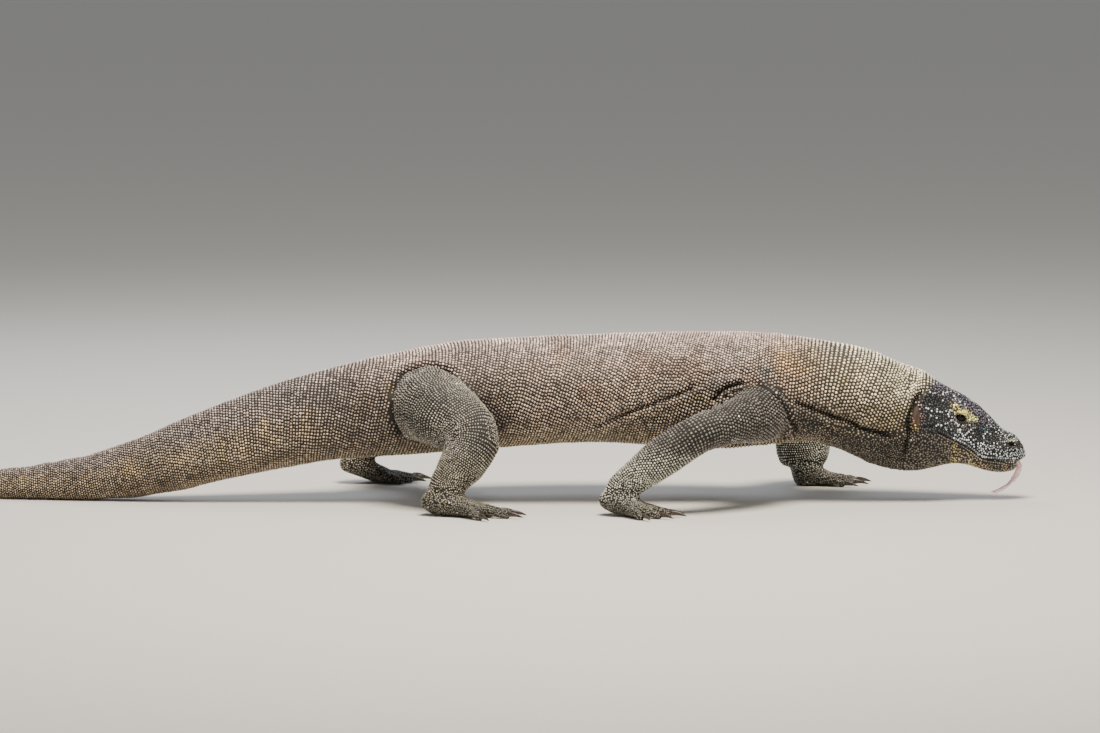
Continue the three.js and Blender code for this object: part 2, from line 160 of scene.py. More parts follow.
def to_polyline(points: Rows, line: Rows) -> tuple[Array, Array]:
    """How near each point comes to a line of straight pieces.

    Args:
        points: the points.
        line: the line's own points, in order.

    Returns:
        The distance of each point, and how far along the line its nearest place is.
    """
    best = np.full(len(points), np.inf)
    along = np.zeros(len(points))
    walked = 0.0
    for a, b in zip(line[:-1], line[1:]):
        span = b - a
        length = float(np.linalg.norm(span))
        share = np.clip((points - a) @ span / max(length**2, 1e-9), 0, 1)
        gap = np.linalg.norm(points - a - share[:, None] * span, axis=1)
        nearer = gap < best
        best[nearer] = gap[nearer]
        along[nearer] = walked + share[nearer] * length
        walked += length
    return best, along


def kd_tree(points: Rows) -> KDTree:
    """A search tree over places.

    Args:
        points: the places.

    Returns:
        The tree, balanced.
    """
    tree = KDTree(len(points))
    for number, spot in enumerate(points):
        tree.insert(spot, number)
    tree.balance()
    return tree


class Side(Enum):
    """Which flank a feature is on."""

    RIGHT = -1
    LEFT = 1

    def at(self, x: float, y: float, z: float) -> Array:
        """A place on this flank, from its place on the left."""
        return np.array([x, y * self.value, z])


@dataclass(frozen=True)
class Place:
    """Turns the animal's own millimetres (snout at +887, midline at y 0, floor at z 0) to the row frame."""

    shift: Array

    @classmethod
    def from_frame(cls) -> "Place":
        """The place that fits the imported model.

        Returns:
            The place.
        """
        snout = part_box("head")[1][0] / MM - SNOUT_MM
        low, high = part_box("tongue")
        return cls(np.array([snout, (low[1] + high[1]) / 2 / MM, 0.0]))

    def world(self, local: Rows) -> Rows:
        """Local millimetres as metres in the row frame."""
        return (np.asarray(local, float) + self.shift) * MM

    def local(self, world: Rows) -> Rows:
        """Metres in the row frame as local millimetres."""
        return np.asarray(world, float) / MM - self.shift

    def middle(self, node: str) -> Array:
        """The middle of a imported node, in local millimetres."""
        low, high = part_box(node)
        return self.local(np.array([(np.array(low) + np.array(high)) / 2]))[0]


# --- mesh arrays


@dataclass
class Surface:
    """A mesh held as arrays in the animal's own millimetres."""

    points: Rows
    faces: list[tuple[int, ...]] | Array
    triangles: Array = field(init=False)
    edges: Array = field(init=False)

    def __post_init__(self) -> None:
        """Lists the triangles and edges once."""
        fan = [(f[0], f[k], f[k + 1]) for f in self.faces for k in range(1, len(f) - 1)]
        self.triangles = np.array(fan, int)
        pairs = [(f[k], f[(k + 1) % len(f)]) for f in self.faces for k in range(len(f))]
        self.edges = np.unique(np.sort(np.array(pairs, int), axis=1), axis=0)

    def normals(self) -> Rows:
        """Outward directions at the points.

        Returns:
            One unit row for each point.
        """
        a, b, c = (self.points[self.triangles[:, k]] for k in range(3))
        areas = np.cross(b - a, c - a)
        total = np.zeros_like(self.points)
        for k in range(3):
            for axis in range(3):
                total[:, axis] += np.bincount(self.triangles[:, k], areas[:, axis], len(self.points))
        return unit(total)

    def smoothed(self, values: Rows, passes: int, factor: Array | float = 0.5) -> Rows:
        """Values evened out over neighbouring points.

        Args:
            values: one row of numbers for each point.
            passes: how many times to even them out.
            factor: how far each point moves to its neighbours' mean.

        Returns:
            The evened rows.
        """
        i, j = self.edges.T
        size = len(values)
        count = np.bincount(i, minlength=size) + np.bincount(j, minlength=size)
        share = np.broadcast_to(np.asarray(factor, float), (size,))[:, None]
        made = values.astype(float).copy()
        for _ in range(passes):
            total = np.zeros_like(made)
            for axis in range(made.shape[1]):
                total[:, axis] = np.bincount(i, made[j, axis], size) + np.bincount(j, made[i, axis], size)
            made += share * (total / np.maximum(count, 1)[:, None] - made)
        return made

    def welded(self) -> "Surface":
        """The same mesh with points that share a place made one."""
        points, inverse = np.unique(np.round(self.points, 3), axis=0, return_inverse=True)
        return Surface(points, inverse.reshape(-1)[self.triangles])

    def tree(self) -> BVHTree:
        """A search tree over the triangles, in millimetres."""
        return BVHTree.FromPolygons(self.points.tolist(), self.triangles.tolist())


def joined(parts: list[Shape]) -> Shape:
    """Several meshes as one.

    Args:
        parts: the points and triangles of each.

    Returns:
        All the points and all the triangles.
    """
    starts = np.cumsum([0] + [len(points) for points, _ in parts])
    rows = [triangles + start for (_, triangles), start in zip(parts, starts)]
    return np.concatenate([points for points, _ in parts]), np.concatenate(rows)


def point_array(mesh: Mesh) -> Rows:
    """A mesh's points as rows.

    Args:
        mesh: the mesh.

    Returns:
        Its points in its own units.
    """
    flat = np.zeros(len(mesh.vertices) * 3)
    mesh.vertices.foreach_get("co", flat)
    return flat.reshape(-1, 3)


def read_mesh(obj: Object, place: Place) -> Surface:
    """A mesh object at the origin as arrays in the animal's own millimetres."""
    return Surface(place.local(point_array(obj.data)), [tuple(p.vertices) for p in obj.data.polygons])


def packed(node: str, place: Place) -> Surface:
    """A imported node's mesh as arrays."""
    return read_mesh(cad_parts[node], place)


def only(obj: Object) -> None:
    """Makes one object the only one selected, and active.

    Args:
        obj: the object.
    """
    bpy.ops.object.select_all(action="DESELECT")
    obj.select_set(True)
    bpy.context.view_layer.objects.active = obj


def select_faces_or_points(kind: str, chosen: Array, obj: Object) -> None:
    """Selects part of the active mesh and leaves it in edit mode.

    Args:
        kind: "FACE" or "VERT".
        chosen: which faces or points.
        obj: the active object.
    """
    bpy.ops.object.mode_set(mode="EDIT")
    bpy.ops.mesh.select_mode(type=kind)
    bpy.ops.mesh.select_all(action="DESELECT")
    bpy.ops.object.mode_set(mode="OBJECT")
    items = obj.data.polygons if kind == "FACE" else obj.data.vertices
    items.foreach_set("select", chosen)
    bpy.ops.object.mode_set(mode="EDIT")


def add_object(name: str, data: ID) -> Object:
    """A mesh, light or camera as a new object in the scene.

    Args:
        name: the object's name.
        data: what it shows.

    Returns:
        The new object.
    """
    obj = bpy.data.objects.new(name, data)
    bpy.context.scene.collection.objects.link(obj)
    return obj


def add_mesh(name: str, points: Rows, triangles: Array) -> Object:
    """A smooth-shaded triangle mesh as a new object.

    Args:
        name: the object's name.
        points: its points in metres.
        triangles: rows of three point numbers.

    Returns:
        The new object.
    """
    mesh = bpy.data.meshes.new(name)
    mesh.vertices.add(len(points))
    mesh.vertices.foreach_set("co", points.astype(np.float32).ravel())
    mesh.loops.add(triangles.size)
    mesh.loops.foreach_set("vertex_index", triangles.astype(np.int32).ravel())
    mesh.polygons.add(len(triangles))
    mesh.polygons.foreach_set("loop_start", np.arange(0, triangles.size, 3, dtype=np.int32))
    mesh.polygons.foreach_set("use_smooth", np.ones(len(triangles), bool))
    mesh.update(calc_edges=True)
    mesh.validate()
    return add_object(name, mesh)


def apply_modifier(obj: Object, kind: str, **settings: object) -> None:
    """Adds a modifier to an object and applies it.

    Args:
        obj: the object.
        kind: the modifier's type.
        **settings: its properties.
    """
    only(obj)
    made = obj.modifiers.new("Shape", kind)
    for name, value in settings.items():
        setattr(made, name, value)
    bpy.ops.object.modifier_apply(modifier=made.name)


def write_points(obj: Object, world: Rows) -> None:
    """Moves a mesh object's points to new places, in metres."""
    obj.data.vertices.foreach_set("co", world.astype(np.float32).ravel())
    obj.data.update()


def paint_points(mesh: Mesh, name: str, colours: Rows) -> None:
    """Stores one colour at each point of a mesh.

    Args:
        mesh: the mesh.
        name: the attribute's name.
        colours: linear colours.
    """
    layer = mesh.color_attributes.new(name, "FLOAT_COLOR", "POINT")
    full = np.concatenate([np.clip(colours, 0, 1), np.ones((len(colours), 1))], axis=1)
    layer.data.foreach_set("color", full.astype(np.float32).ravel())


# --- the body's axes


@dataclass(frozen=True)
class Axis:
    """A line down the middle of the body or a leg. Angle zero leans towards `upright`."""

    line: Rows
    upright: Array

    def length(self) -> float:
        """Millimetres from its first point to its last."""
        return float(spans(self.line).sum())

    def at(self, walked: Array) -> Rows:
        """Points at some millimetres from its first point."""
        return read_line(walked, summed(spans(self.line)), self.line)

    def frames(self, walked: Array, blur: float = 24.0) -> tuple[Rows, ...]:
        """Where the axis runs and what is up and across there.

        Args:
            walked: millimetres from its first point.
            blur: the length over which its bends are rounded.

        Returns:
            Its points, directions, ups and acrosses.
        """
        ahead = self.at(np.minimum(walked + blur, self.length()))
        along = unit(ahead - self.at(np.maximum(walked - blur, 0)))
        up = unit(self.upright - along * (along @ self.upright)[:, None])
        return self.at(walked), along, up, np.cross(along, up)

    def locate(self, points: Rows) -> tuple[Array, Array]:
        """Where points lie along and around the axis.

        Args:
            points: the points.

        Returns:
            Millimetres along, and the angle around from -pi to pi with zero at the up direction.
        """
        _, walked = to_polyline(points, self.line)
        here, _, up, across = self.frames(walked)
        off = points - here
        return walked, np.arctan2((off * across).sum(1), (off * up).sum(1))


def smooth_line(stops: tuple[tuple[float, ...], ...], per_span: int) -> Rows:
    """A Catmull-Rom curve through some points.

    Args:
        stops: the points, in order.
        per_span: how many pieces each span is cut into.

    Returns:
        The curve's points.
    """
    p = np.array(stops, float)
    p = np.concatenate([[2 * p[0] - p[1]], p, [2 * p[-1] - p[-2]]])
    made = []
    for a, b, c, d in zip(p[:-3], p[1:-2], p[2:-1], p[3:]):
        for t in np.arange(per_span) / per_span:
            curve = 2 * b + (c - a) * t + (2 * a - 5 * b + 4 * c - d) * t**2 + (3 * b - a - 3 * c + d) * t**3
            made.append(0.5 * curve)
    return np.array(made + [p[-2]])


LEVEL_UP = np.array([0.0, 0.0, 1.0])
FORWARD = np.array([1.0, 0.0, 0.0])

SPINE_STOPS = (
    (880, 0, 74), (840, 0, 94), (757, 0, 137), (700, 0, 150), (640, 1, 160), (560, 2, 195), (480, 3, 212),
    (320, 12, 210), (100, 25, 212), (-100, 15, 203), (-270, -2, 188), (-430, -15, 167), (-615, -22, 120),
    (-800, -18, 62), (-890, -11, 44), (-1010, 4, 31), (-1150, 25, 23), (-1310, 50, 15), (-1470, 74, 9),
    (-1606, 92, 3.4),
)
LEG_STOPS = {
    "foreleg_right": (
        (400, -70, 176), (325, -178, 168), (260, -230, 152), (190, -240, 108),
        (104, -243, 44), (140, -252, 20), (215, -262, 9),
    ),
    "foreleg_left": (
        (402, 70, 180), (430, 170, 172), (461, 212, 154), (468, 219, 102),
        (475, 219, 44), (515, 226, 20), (590, 240, 9),
    ),
    "hindleg_right": (
        (-250, -50, 190), (-206, -156, 173), (-160, -208, 146), (-184, -232, 94),
        (-224, -244, 42), (-160, -253, 20), (-75, -265, 9),
    ),
    "hindleg_left": (
        (-298, 50, 184), (-288, 160, 166), (-280, 212, 147), (-336, 234, 108),
        (-394, 244, 64), (-340, 257, 22), (-250, 285, 9),
    ),
}
SPINE = Axis(smooth_line(SPINE_STOPS, 4), LEVEL_UP)
LEG_AXES = {name: Axis(smooth_line(stops, 6), FORWARD) for name, stops in LEG_STOPS.items()}

JAW_NODES = ("head", "lower_jaw")
TRUNK_NODES = ("neck", "trunk_front", "trunk_rear", "tail_1", "tail_2", "tail_3", "tail_4")


def leg_nodes(name: str) -> tuple[str, ...]:
    """The flesh nodes of one leg."""
    return tuple(f"{name}_{part}" for part in ("upper", "lower", "foot"))


def claw_nodes(leg: str) -> tuple[str, ...]:
    """The claws of one leg."""
    return tuple(f"{leg}_claw_{number}" for number in range(1, 6))


FLESH_NODES = JAW_NODES + TRUNK_NODES + tuple(node for leg in LEG_STOPS for node in leg_nodes(leg))


# --- the skin's relief


@dataclass(frozen=True)
class Fold:
    """A crease in the skin, drawn as it is seen from the right: (x, height on the midline plane) in mm."""

    line: tuple[tuple[float, float], ...]
    depth: float
    width: float
    lip: float = 0.3
    both_sides: bool = True


FOLDS = (
    # behind the ear
    Fold(((696, 216), (682, 203), (669, 186), (663, 165), (660, 145), (658, 120), (654, 93), (646, 72)), 10, 5),
    # throat
    Fold(((585, 118), (600, 100), (619, 85), (640, 78), (668, 75), (704, 73)), 4, 3.5),
    Fold(((612, 140), (626, 118), (640, 100), (652, 86)), 2.5, 4),
    # from the shoulder along the neck, and the breast under it
    Fold(
        ((430, 196), (444, 187), (470, 176), (492, 167), (520, 157), (547, 150), (562, 139), (608, 127),
         (640, 118)), 9, 5.5, 0.45,
    ),
    Fold(((470, 150), (500, 140), (530, 126), (552, 112)), 2.5, 5),
    # before the shoulder
    Fold(((352, 226), (372, 222), (401, 203), (424, 175), (444, 137), (460, 112)), 9, 5.5),
    # armpit, three folds one inside the other
    Fold(((276, 170), (289, 190), (300, 203), (319, 216), (342, 223), (366, 220)), 8, 4.5),
    Fold(((298, 180), (308, 195), (320, 204), (336, 209), (352, 210)), 6, 3.2),
    Fold(((303, 184), (314, 193), (330, 198), (350, 199)), 4, 3),
    # over the shoulder blade
    Fold(((262, 226), (280, 236), (306, 242), (342, 242), (366, 234)), 2.2, 6),
    # flank
    Fold(((277, 229), (250, 214), (228, 203), (190, 189), (150, 174), (114, 160), (80, 146), (50, 135)), 6, 5),
    Fold(((235, 186), (205, 170), (170, 150), (130, 130)), 2, 5),
    Fold(((246, 222), (244, 205), (250, 188), (262, 170)), 2.5, 5),
    # over, behind and along the thigh
    Fold(((-316, 190), (-312, 222), (-294, 246), (-255, 257), (-211, 247), (-188, 232)), 10, 7, 0.3, False),
    Fold(((-313, 226), (-316, 190), (-312, 146), (-298, 112)), 9, 8, 0.25, False),
    Fold(((-240, 240), (-215, 222), (-195, 196), (-180, 168)), 1.6, 7, 0.3, False),
    # groin
    Fold(((-120, 205), (-100, 170), (-84, 135), (-70, 110)), 2.2, 9),
    # corner of the mouth, and cheek
    Fold(((714, 134), (700, 140), (688, 138)), 2.5, 3),
    Fold(((706, 118), (692, 100), (688, 84)), 1.8, 4),
)

LIP_LINE = (
    (884, 76), (868, 74.5), (830, 74.5), (810, 76.5), (800, 79.5), (790, 86),
    (780, 94.5), (770, 101.5), (757, 108), (745, 114), (730, 121), (714, 129),
)
# Where the hide bridges from leg to trunk: the middle and the half sizes.
JOINT_SPOTS = (
    ((455, 95, 190), (45, 45, 60)),
    ((-285, 128, 110), (70, 45, 45)),
    ((330, 125, 225), (50, 40, 30)),
)
# The soft forms of the face: the middle, the half sizes and the rise.
FACE_FORMS = (
    ((722, 48, 190), (26, 20, 13), -2.2),  # temple
    ((806, 40, 128), (24, 20, 15), -2.4),  # before the eye
    ((764, 38, 184), (24, 10, 7), 1.6),  # brow
)
EAR_SPOT = (675, 66, 169)
NOSTRIL_X, NOSTRIL_Z = 857, 108
CAMERA_TILT = 0.105  # how far a point's height seems to fall for each millimetre it stands nearer
CREASE_DEEP = 8.5  # a crease this deep gets the darkest painted shade
FEET_BEYOND = 150  # the feet stand farther than this from the midline
SKIN_FLOOR = 0.35  # the least height of the skin over the floor


def seen_from_right(tree: BVHTree, pairs: tuple[tuple[float, float], ...] | Array) -> Rows:
    """Where lines of sight meet the right flank.

    Args:
        tree: the skin's search tree.
        pairs: (x, height on the midline plane) for each line of sight.

    Returns:
        The points met, in order.
    """
    way = Vector((0, 1, -CAMERA_TILT)).normalized()
    hits = [tree.ray_cast(Vector((x, -900, z + 900 * CAMERA_TILT)), way)[0] for x, z in pairs]
    return np.array([list(hit) for hit in hits if hit is not None])


@dataclass(frozen=True)
class EyeSize:
    """The eyeball and the opening of its lids, in mm."""

    radius: float = 12.5
    opening: tuple[float, float] = (9.0, 6.6)
    lid: float = 1.5
    pitch: float = math.radians(20)  # how far the opening falls forward

    def axes(self) -> tuple[Array, Array]:
        """The ways along and across the opening."""
        c, s = math.cos(self.pitch), math.sin(self.pitch)
        return np.array([c, 0, -s]), np.array([s, 0, c])


EYE = EyeSize()


@dataclass
class SkinBuilder:
    """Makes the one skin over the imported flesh: merged, evened, creased, and thinned where it is plain."""

    place: Place
    voxel: float = 4.0
    gap_fill: float = 0.5
    coat_depth: float = 1.9
    face_coat_depth: float = 0.5
    shown_triangles: int = 190000
    carved: Array = field(default_factory=lambda: np.zeros(0))  # how deep in a crease each point lies, 0 to 1, which sets the creases' painted shade

    def merged(self) -> Object:
        """Copies of the flesh nodes joined and remeshed as one closed body.

        Returns:
            The skin object, at the origin.
        """
        solids = [packed(name, self.place).welded() for name in (*FLESH_NODES, "eye_right", "eye_left")]
        points, faces = joined([(s.points + s.normals() * self.gap_fill, s.triangles) for s in solids])
        mesh = bpy.data.meshes.new("skin")
        mesh.from_pydata(self.place.world(points).tolist(), [], faces.tolist())
        obj = add_object("skin", mesh)
        apply_modifier(obj, "REMESH", mode="VOXEL", voxel_size=self.voxel * MM)
        self.drop_bubbles(obj)
        return obj

    def drop_bubbles(self, obj: Object) -> None:
        """Deletes every piece of the mesh but the largest.

        Args:
            obj: the remeshed skin.
        """
        skin = read_mesh(obj, self.place)
        label = np.arange(len(skin.points))
        i, j = skin.edges.T
        settled = False
        while not settled:
            low = np.minimum(label[i], label[j])
            fresh = label.copy()
            np.minimum.at(fresh, i, low)
            np.minimum.at(fresh, j, low)
            fresh = fresh[fresh]
            settled = np.array_equal(fresh, label)
            label = fresh
        loose = label != np.bincount(label).argmax()
        LOG.info("skin: %d points, %d outside the main piece", len(label), int(loose.sum()))
        select_faces_or_points("VERT", loose, obj)
        bpy.ops.mesh.delete(type="VERT")
        bpy.ops.object.mode_set(mode="OBJECT")

    def refine(self, obj: Object, chosen: Array) -> None:
        """Splits each face whose points are all chosen into four.

        Args:
            obj: the skin.
            chosen: which points lie in the region.
        """
        only(obj)
        picked = np.array([chosen[list(p.vertices)].all() for p in obj.data.polygons])
        select_faces_or_points("FACE", picked, obj)
        bpy.ops.mesh.subdivide(number_cuts=1, ngon=False, quadcorner="INNERVERT")
        bpy.ops.object.mode_set(mode="OBJECT")

    def build(self) -> tuple[Object, Surface]:
        """The finished skin.

        Returns:
            The object and its mesh as arrays.
        """
        obj = self.merged()
        skin = read_mesh(obj, self.place)
        x, y, z = skin.points.T
        feet = smoothstep(z, 60, 25) * (np.abs(y) > FEET_BEYOND)
        face = smoothstep(x, 640, 720)
        careful = np.clip(feet + face + smoothstep(x, -900, -1300), 0, 1)
        points = skin.smoothed(skin.points, 4, 0.5)
        points = skin.smoothed(points, 26, 0.5 * (1 - careful))
        points = skin.smoothed(points, 45, 0.5 * self.joint_share(points))
        points = skin.smoothed(points, 4, 0.4 * np.clip(feet * 0.5 + face, 0, 1))
        write_points(obj, self.place.world(points))
        self.refine(obj, points[:, 0] > 655)
        skin = read_mesh(obj, self.place)
        head = smoothstep(skin.points[:, 0], 650, 665)
        write_points(obj, self.place.world(skin.smoothed(skin.points, 3, 0.5 * head)))
        self.refine_round_eyes(obj)
        skin = read_mesh(obj, self.place)
        skin.points = self.sculpted(skin)
        write_points(obj, self.place.world(skin.points))
        return obj, skin

    def joint_share(self, points: Rows) -> Array:
        """Shares from 0 to 1 of where the legs run into the trunk, which the hide bridges softly."""
        spots = [(side.at(*middle), half) for middle, half in JOINT_SPOTS for side in Side]
        return np.max([smoothstep(oval(points, middle, half), 1.3, 0.7) for middle, half in spots], axis=0)

    def thinned(self, obj: Object, skin: Surface) -> None:
        """Drops triangles from the plain parts of the shown skin, and keeps the face and feet.

        Args:
            obj: the skin.
            skin: its mesh as arrays.
        """
        x, _, z = skin.points.T
        plain = smoothstep(x, 660, 600) * np.maximum(smoothstep(z, 40, 70), x < -450)
        group = obj.vertex_groups.new(name="plain")
        for level in range(1, 11):
            rows = np.nonzero(np.ceil(plain * 10) == level)[0]
            group.add(rows.tolist(), level / 10, "REPLACE")
        ratio = self.shown_triangles / len(skin.triangles)
        apply_modifier(obj, "DECIMATE", ratio=ratio, vertex_group=group.name, vertex_group_factor=1.0)
        obj.vertex_groups.clear()

    def refine_round_eyes(self, obj: Object) -> None:
        """Splits the faces round the eyes and nostrils once more.

        Args:
            obj: the skin.
        """
        points = read_mesh(obj, self.place).points
        near = np.zeros(len(points), bool)
        for side in Side:
            near |= np.linalg.norm(points - self.eye_centre(side), axis=1) < 27
            near |= np.linalg.norm(points - side.at(NOSTRIL_X, 27, NOSTRIL_Z), axis=1) < 12
        self.refine(obj, near)

    def eye_centre(self, side: Side) -> Array:
        """The middle of an eyeball."""
        return self.place.middle(f"eye_{side.name.lower()}")

    def sculpted(self, skin: Surface) -> Rows:
        """The skin's points with its relief.

        Args:
            skin: the evened skin.

        Returns:
            The moved points.
        """
        points = skin.points
        x, y, z = points.T
        fine = np.clip(smoothstep(x, 640, 700) + smoothstep(z, 45, 20) * (np.abs(y) > FEET_BEYOND), 0, 1)
        lift = -(self.coat_depth + (self.face_coat_depth - self.coat_depth) * fine)
        lift += (noise(points, 70, 1) - 0.5) * 2.6 * (1 - fine)
        lift += (noise(points, 26, 2) - 0.5) * 1.5 * (1 - 0.6 * fine)
        lift += self.wrinkles(points) * (1 - fine)
        tree = skin.tree()
        self.carved = np.zeros(len(points))
        for fold in FOLDS:
            for line in self.fold_lines(fold, tree):
                change = self.crease(points, line, fold)
                lift += change
                # the deeper the crease, the darker its painted shade
                self.carved = np.maximum(self.carved, -change / CREASE_DEEP)
        mouth = self.lips(points, tree)
        lift += mouth
        # the mouth's groove gets painted shade too
        self.carved = np.maximum(self.carved, np.clip((-mouth - 2.2) / 3.0, 0, 1))
        lift += self.hollows(points)
        moved = points + skin.normals() * lift[:, None]
        for side in Side:
            moved = self.with_lids(moved, side)
        moved[:, 2] = np.maximum(moved[:, 2], SKIN_FLOOR)
        return moved

    def wrinkles(self, points: Rows) -> Array:
        """Fine loose wrinkles across the neck, the elbows and the flanks.

        Args:
            points: the skin's points.

        Returns:
            How far each point rises.
        """
        x, y, z = points.T
        ridges = 1 - 2 * np.abs(noise(points * np.array([1.0, 0.35, 0.35]), 13, 3) - 0.5)
        neck = smoothstep(x, 520, 600) * smoothstep(z, 200, 150)
        limbs = np.clip((np.abs(y) - 120) / 60, 0, 1)
        belly = smoothstep(z, 165, 130) * (np.abs(y) < 160)
        return (ridges**3) * 1.4 * np.clip(neck + 0.5 * limbs + 0.6 * belly, 0, 1)

    def fold_lines(self, fold: Fold, tree: BVHTree) -> list[Rows]:
        """A fold's line on the skin, and its mirror image where it has one.

        Args:
            fold: the fold.
            tree: the skin's search tree.

        Returns:
            One or two lines of points.
        """
        line = seen_from_right(tree, fold.line)
        if not fold.both_sides:
            return [line]
        return [line, np.array([list(tree.find_nearest(Vector(p))[0]) for p in line * MIRROR])]

    def crease(self, points: Rows, line: Rows, fold: Fold) -> Array:
        """The relief of one crease: a groove with a soft lip either side.

        Args:
            points: the skin's points.
            line: the crease's line.
            fold: its sizes.

        Returns:
            How far each point rises.
        """
        made = np.zeros(len(points))
        reach = 6 * fold.width
        near = ((points > line.min(axis=0) - reach) & (points < line.max(axis=0) + reach)).all(axis=1)
        distance, along = to_polyline(points[near], line)
        total = float(spans(line).sum())
        fade = smoothstep(along, 0, 0.16 * total) * smoothstep(along, total, 0.84 * total)
        wobble = 0.75 + 0.5 * noise(points[near], 18, 5)
        groove, lip = hill(distance, 0, fold.width), hill(distance, 2.2 * fold.width, fold.width)
        made[near] = fade * wobble * fold.depth * (fold.lip * lip - groove)
        return made

    def lips(self, points: Rows, tree: BVHTree) -> Array:
        """The closed mouth: a sharp groove with the lower jaw drawn in beneath it.

        Args:
            points: the skin's points.
            tree: the skin's search tree.

        Returns:
            How far each point rises.
        """
        made = np.zeros(len(points))
        right = seen_from_right(tree, LIP_LINE[1:])
        front = points[:, 0] > 700
        x, y, z = points[front].T
        for line in (right, right * MIRROR):
            distance, along = to_polyline(points[front], line)
            fade = smoothstep(along, 205, 170)
            made[front] -= 4.2 * fade * hill(distance, 0, 1.9)
            drop = np.interp(x, line[::-1, 0], line[::-1, 2]) - z
            below = smoothstep(drop, 0.5, 3.5) * smoothstep(drop, 30, 8)
            flank = np.sign(line[0, 1]) * y > 4
            made[front] -= 2.0 * fade * below * flank * (distance < 34)
        return made

    def hollows(self, points: Rows) -> Array:
        """The ears, the nostrils and the soft hollows of the face.

        Args:
            points: the skin's points.

        Returns:
            How far each point rises.
        """
        made = np.zeros(len(points))
        for side in Side:
            made -= 4.0 * smoothstep(oval(points, side.at(*EAR_SPOT), (7.5, 20, 22)), 1.15, 0.8)
            x, y, z = (points - side.at(NOSTRIL_X, 26, NOSTRIL_Z)).T
            slit = np.stack([x * 0.86 + z * -0.5, y * 0.3, x * 0.5 + z * 0.86], 1)
            reach = oval(slit, (0, 0, 0), (7.5, 4, 3.6))
            made -= 5.5 * smoothstep(reach, 1.2, 0.5)
            made += hill(reach, 1.7, 0.5)
            for middle, half, rise in FACE_FORMS:
                made += rise * hill(oval(points, side.at(*middle), half))
        x, y, z = points.T
        crown = smoothstep(x, 690, 720) * smoothstep(x, 800, 780)
        return made - 1.6 * crown * (hill(y, 0, 14) * (z > 150))

    def with_lids(self, points: Rows, side: Side) -> Rows:
        """The skin drawn over an eyeball, with the opening of the lids left free.

        Args:
            points: the skin's points.
            side: which eye.

        Returns:
            The moved points.
        """
        ahead, up = EYE.axes()
        long, tall = EYE.opening
        out = unit(np.array([[0.0, side.value, 0.12]]))[0]
        off = points - self.eye_centre(side)
        u, v, w = off @ ahead, off @ up, off @ out
        near = (np.hypot(u, v) < 30) & (w > -6)
        reach = np.hypot(u / long, v / np.where(v > 0, tall * 0.92, tall * 1.08))
        ball = np.sqrt(np.maximum(EYE.radius**2 - u**2 - v**2, 9.0))
        lid = np.sqrt(np.maximum((EYE.radius + EYE.lid) ** 2 - u**2 - v**2, 1.0))
        over = np.maximum(w, lid + 0.5 * hill(reach, 1.12, 0.12))
        wanted = w + (over - w) * smoothstep(reach, 2.1, 1.25)
        inside = smoothstep(reach, 1.04, 0.93)
        wanted = wanted + (np.minimum(w, ball - 4.5) - wanted) * inside
        crow = 0.9 * hill(reach, 1.75, 0.22) + 0.6 * hill(reach, 2.3, 0.2)
        wanted = wanted - crow * (v < 4)
        moved = points.copy()
        moved[near] += ((wanted - w)[near])[:, None] * out
        return moved


# --- markings


class Region(Enum):
    """The parts of the body that are dressed each in its own way."""

    HEAD = 0
    AXIAL = 1
    FORELEG_RIGHT = 2
    FORELEG_LEFT = 3
    HINDLEG_RIGHT = 4
    HINDLEG_LEFT = 5

    @property
    def leg(self) -> str:
        """The name of this region's leg."""
        return self.name.lower()

    @property
    def axis(self) -> Axis:
        """The spine, or the leg's own line, which the rings of this region's scales follow."""
        return LEG_AXES.get(self.leg, SPINE)


# Where the head's scales begin: height, place along the body.
HEAD_EDGE = np.array(((0, 646), (140, 657), (190, 676), (207, 690), (228, 714), (270, 718)))


def head_edge(points: Rows) -> Array:
    """How far along the body the head's scales begin, at each point's height."""
    return np.interp(points[:, 2], *HEAD_EDGE.T)


def lip_height(x: Array) -> Array:
    """How high the lips meet, as it looks from the side, at places along the head."""
    return np.interp(x, *np.array(LIP_LINE[::-1]).T)


def apparent(points: Rows) -> Array:
    """How high each point stands when its own flank is seen from a little above."""
    return points[:, 2] - CAMERA_TILT * np.abs(points[:, 1])


def under_neck(points: Rows) -> Array:
    """How far each point lies on the underside of neck and throat.

    Args:
        points: places on the hide.

    Returns:
        Shares from 0 to 1.
    """
    x, _, z = points.T
    low = smoothstep(z, np.interp(x, [400, 640], [190, 150]), np.interp(x, [400, 640], [150, 105]))
    return low * smoothstep(x, 380, 480)


def flat_reach(x: Array, height: Array, middle: tuple[float, ...], half: tuple[float, ...]) -> Array:
    """How far places lie from an upright oval's middle, seen from the side."""
    return np.hypot((x - middle[0]) / half[0], (height - middle[1]) / half[1])


@dataclass(frozen=True)
class Patch:
    """A soft oval of colour, the same on both flanks: its middle and half sizes in mm, seen from the side."""

    x: float
    height: float
    long: float
    tall: float
    colour: str
    strength: float = 0.8
    speckle: float = 0.0
    right_only: bool = False  # it belongs to the near legs' pose


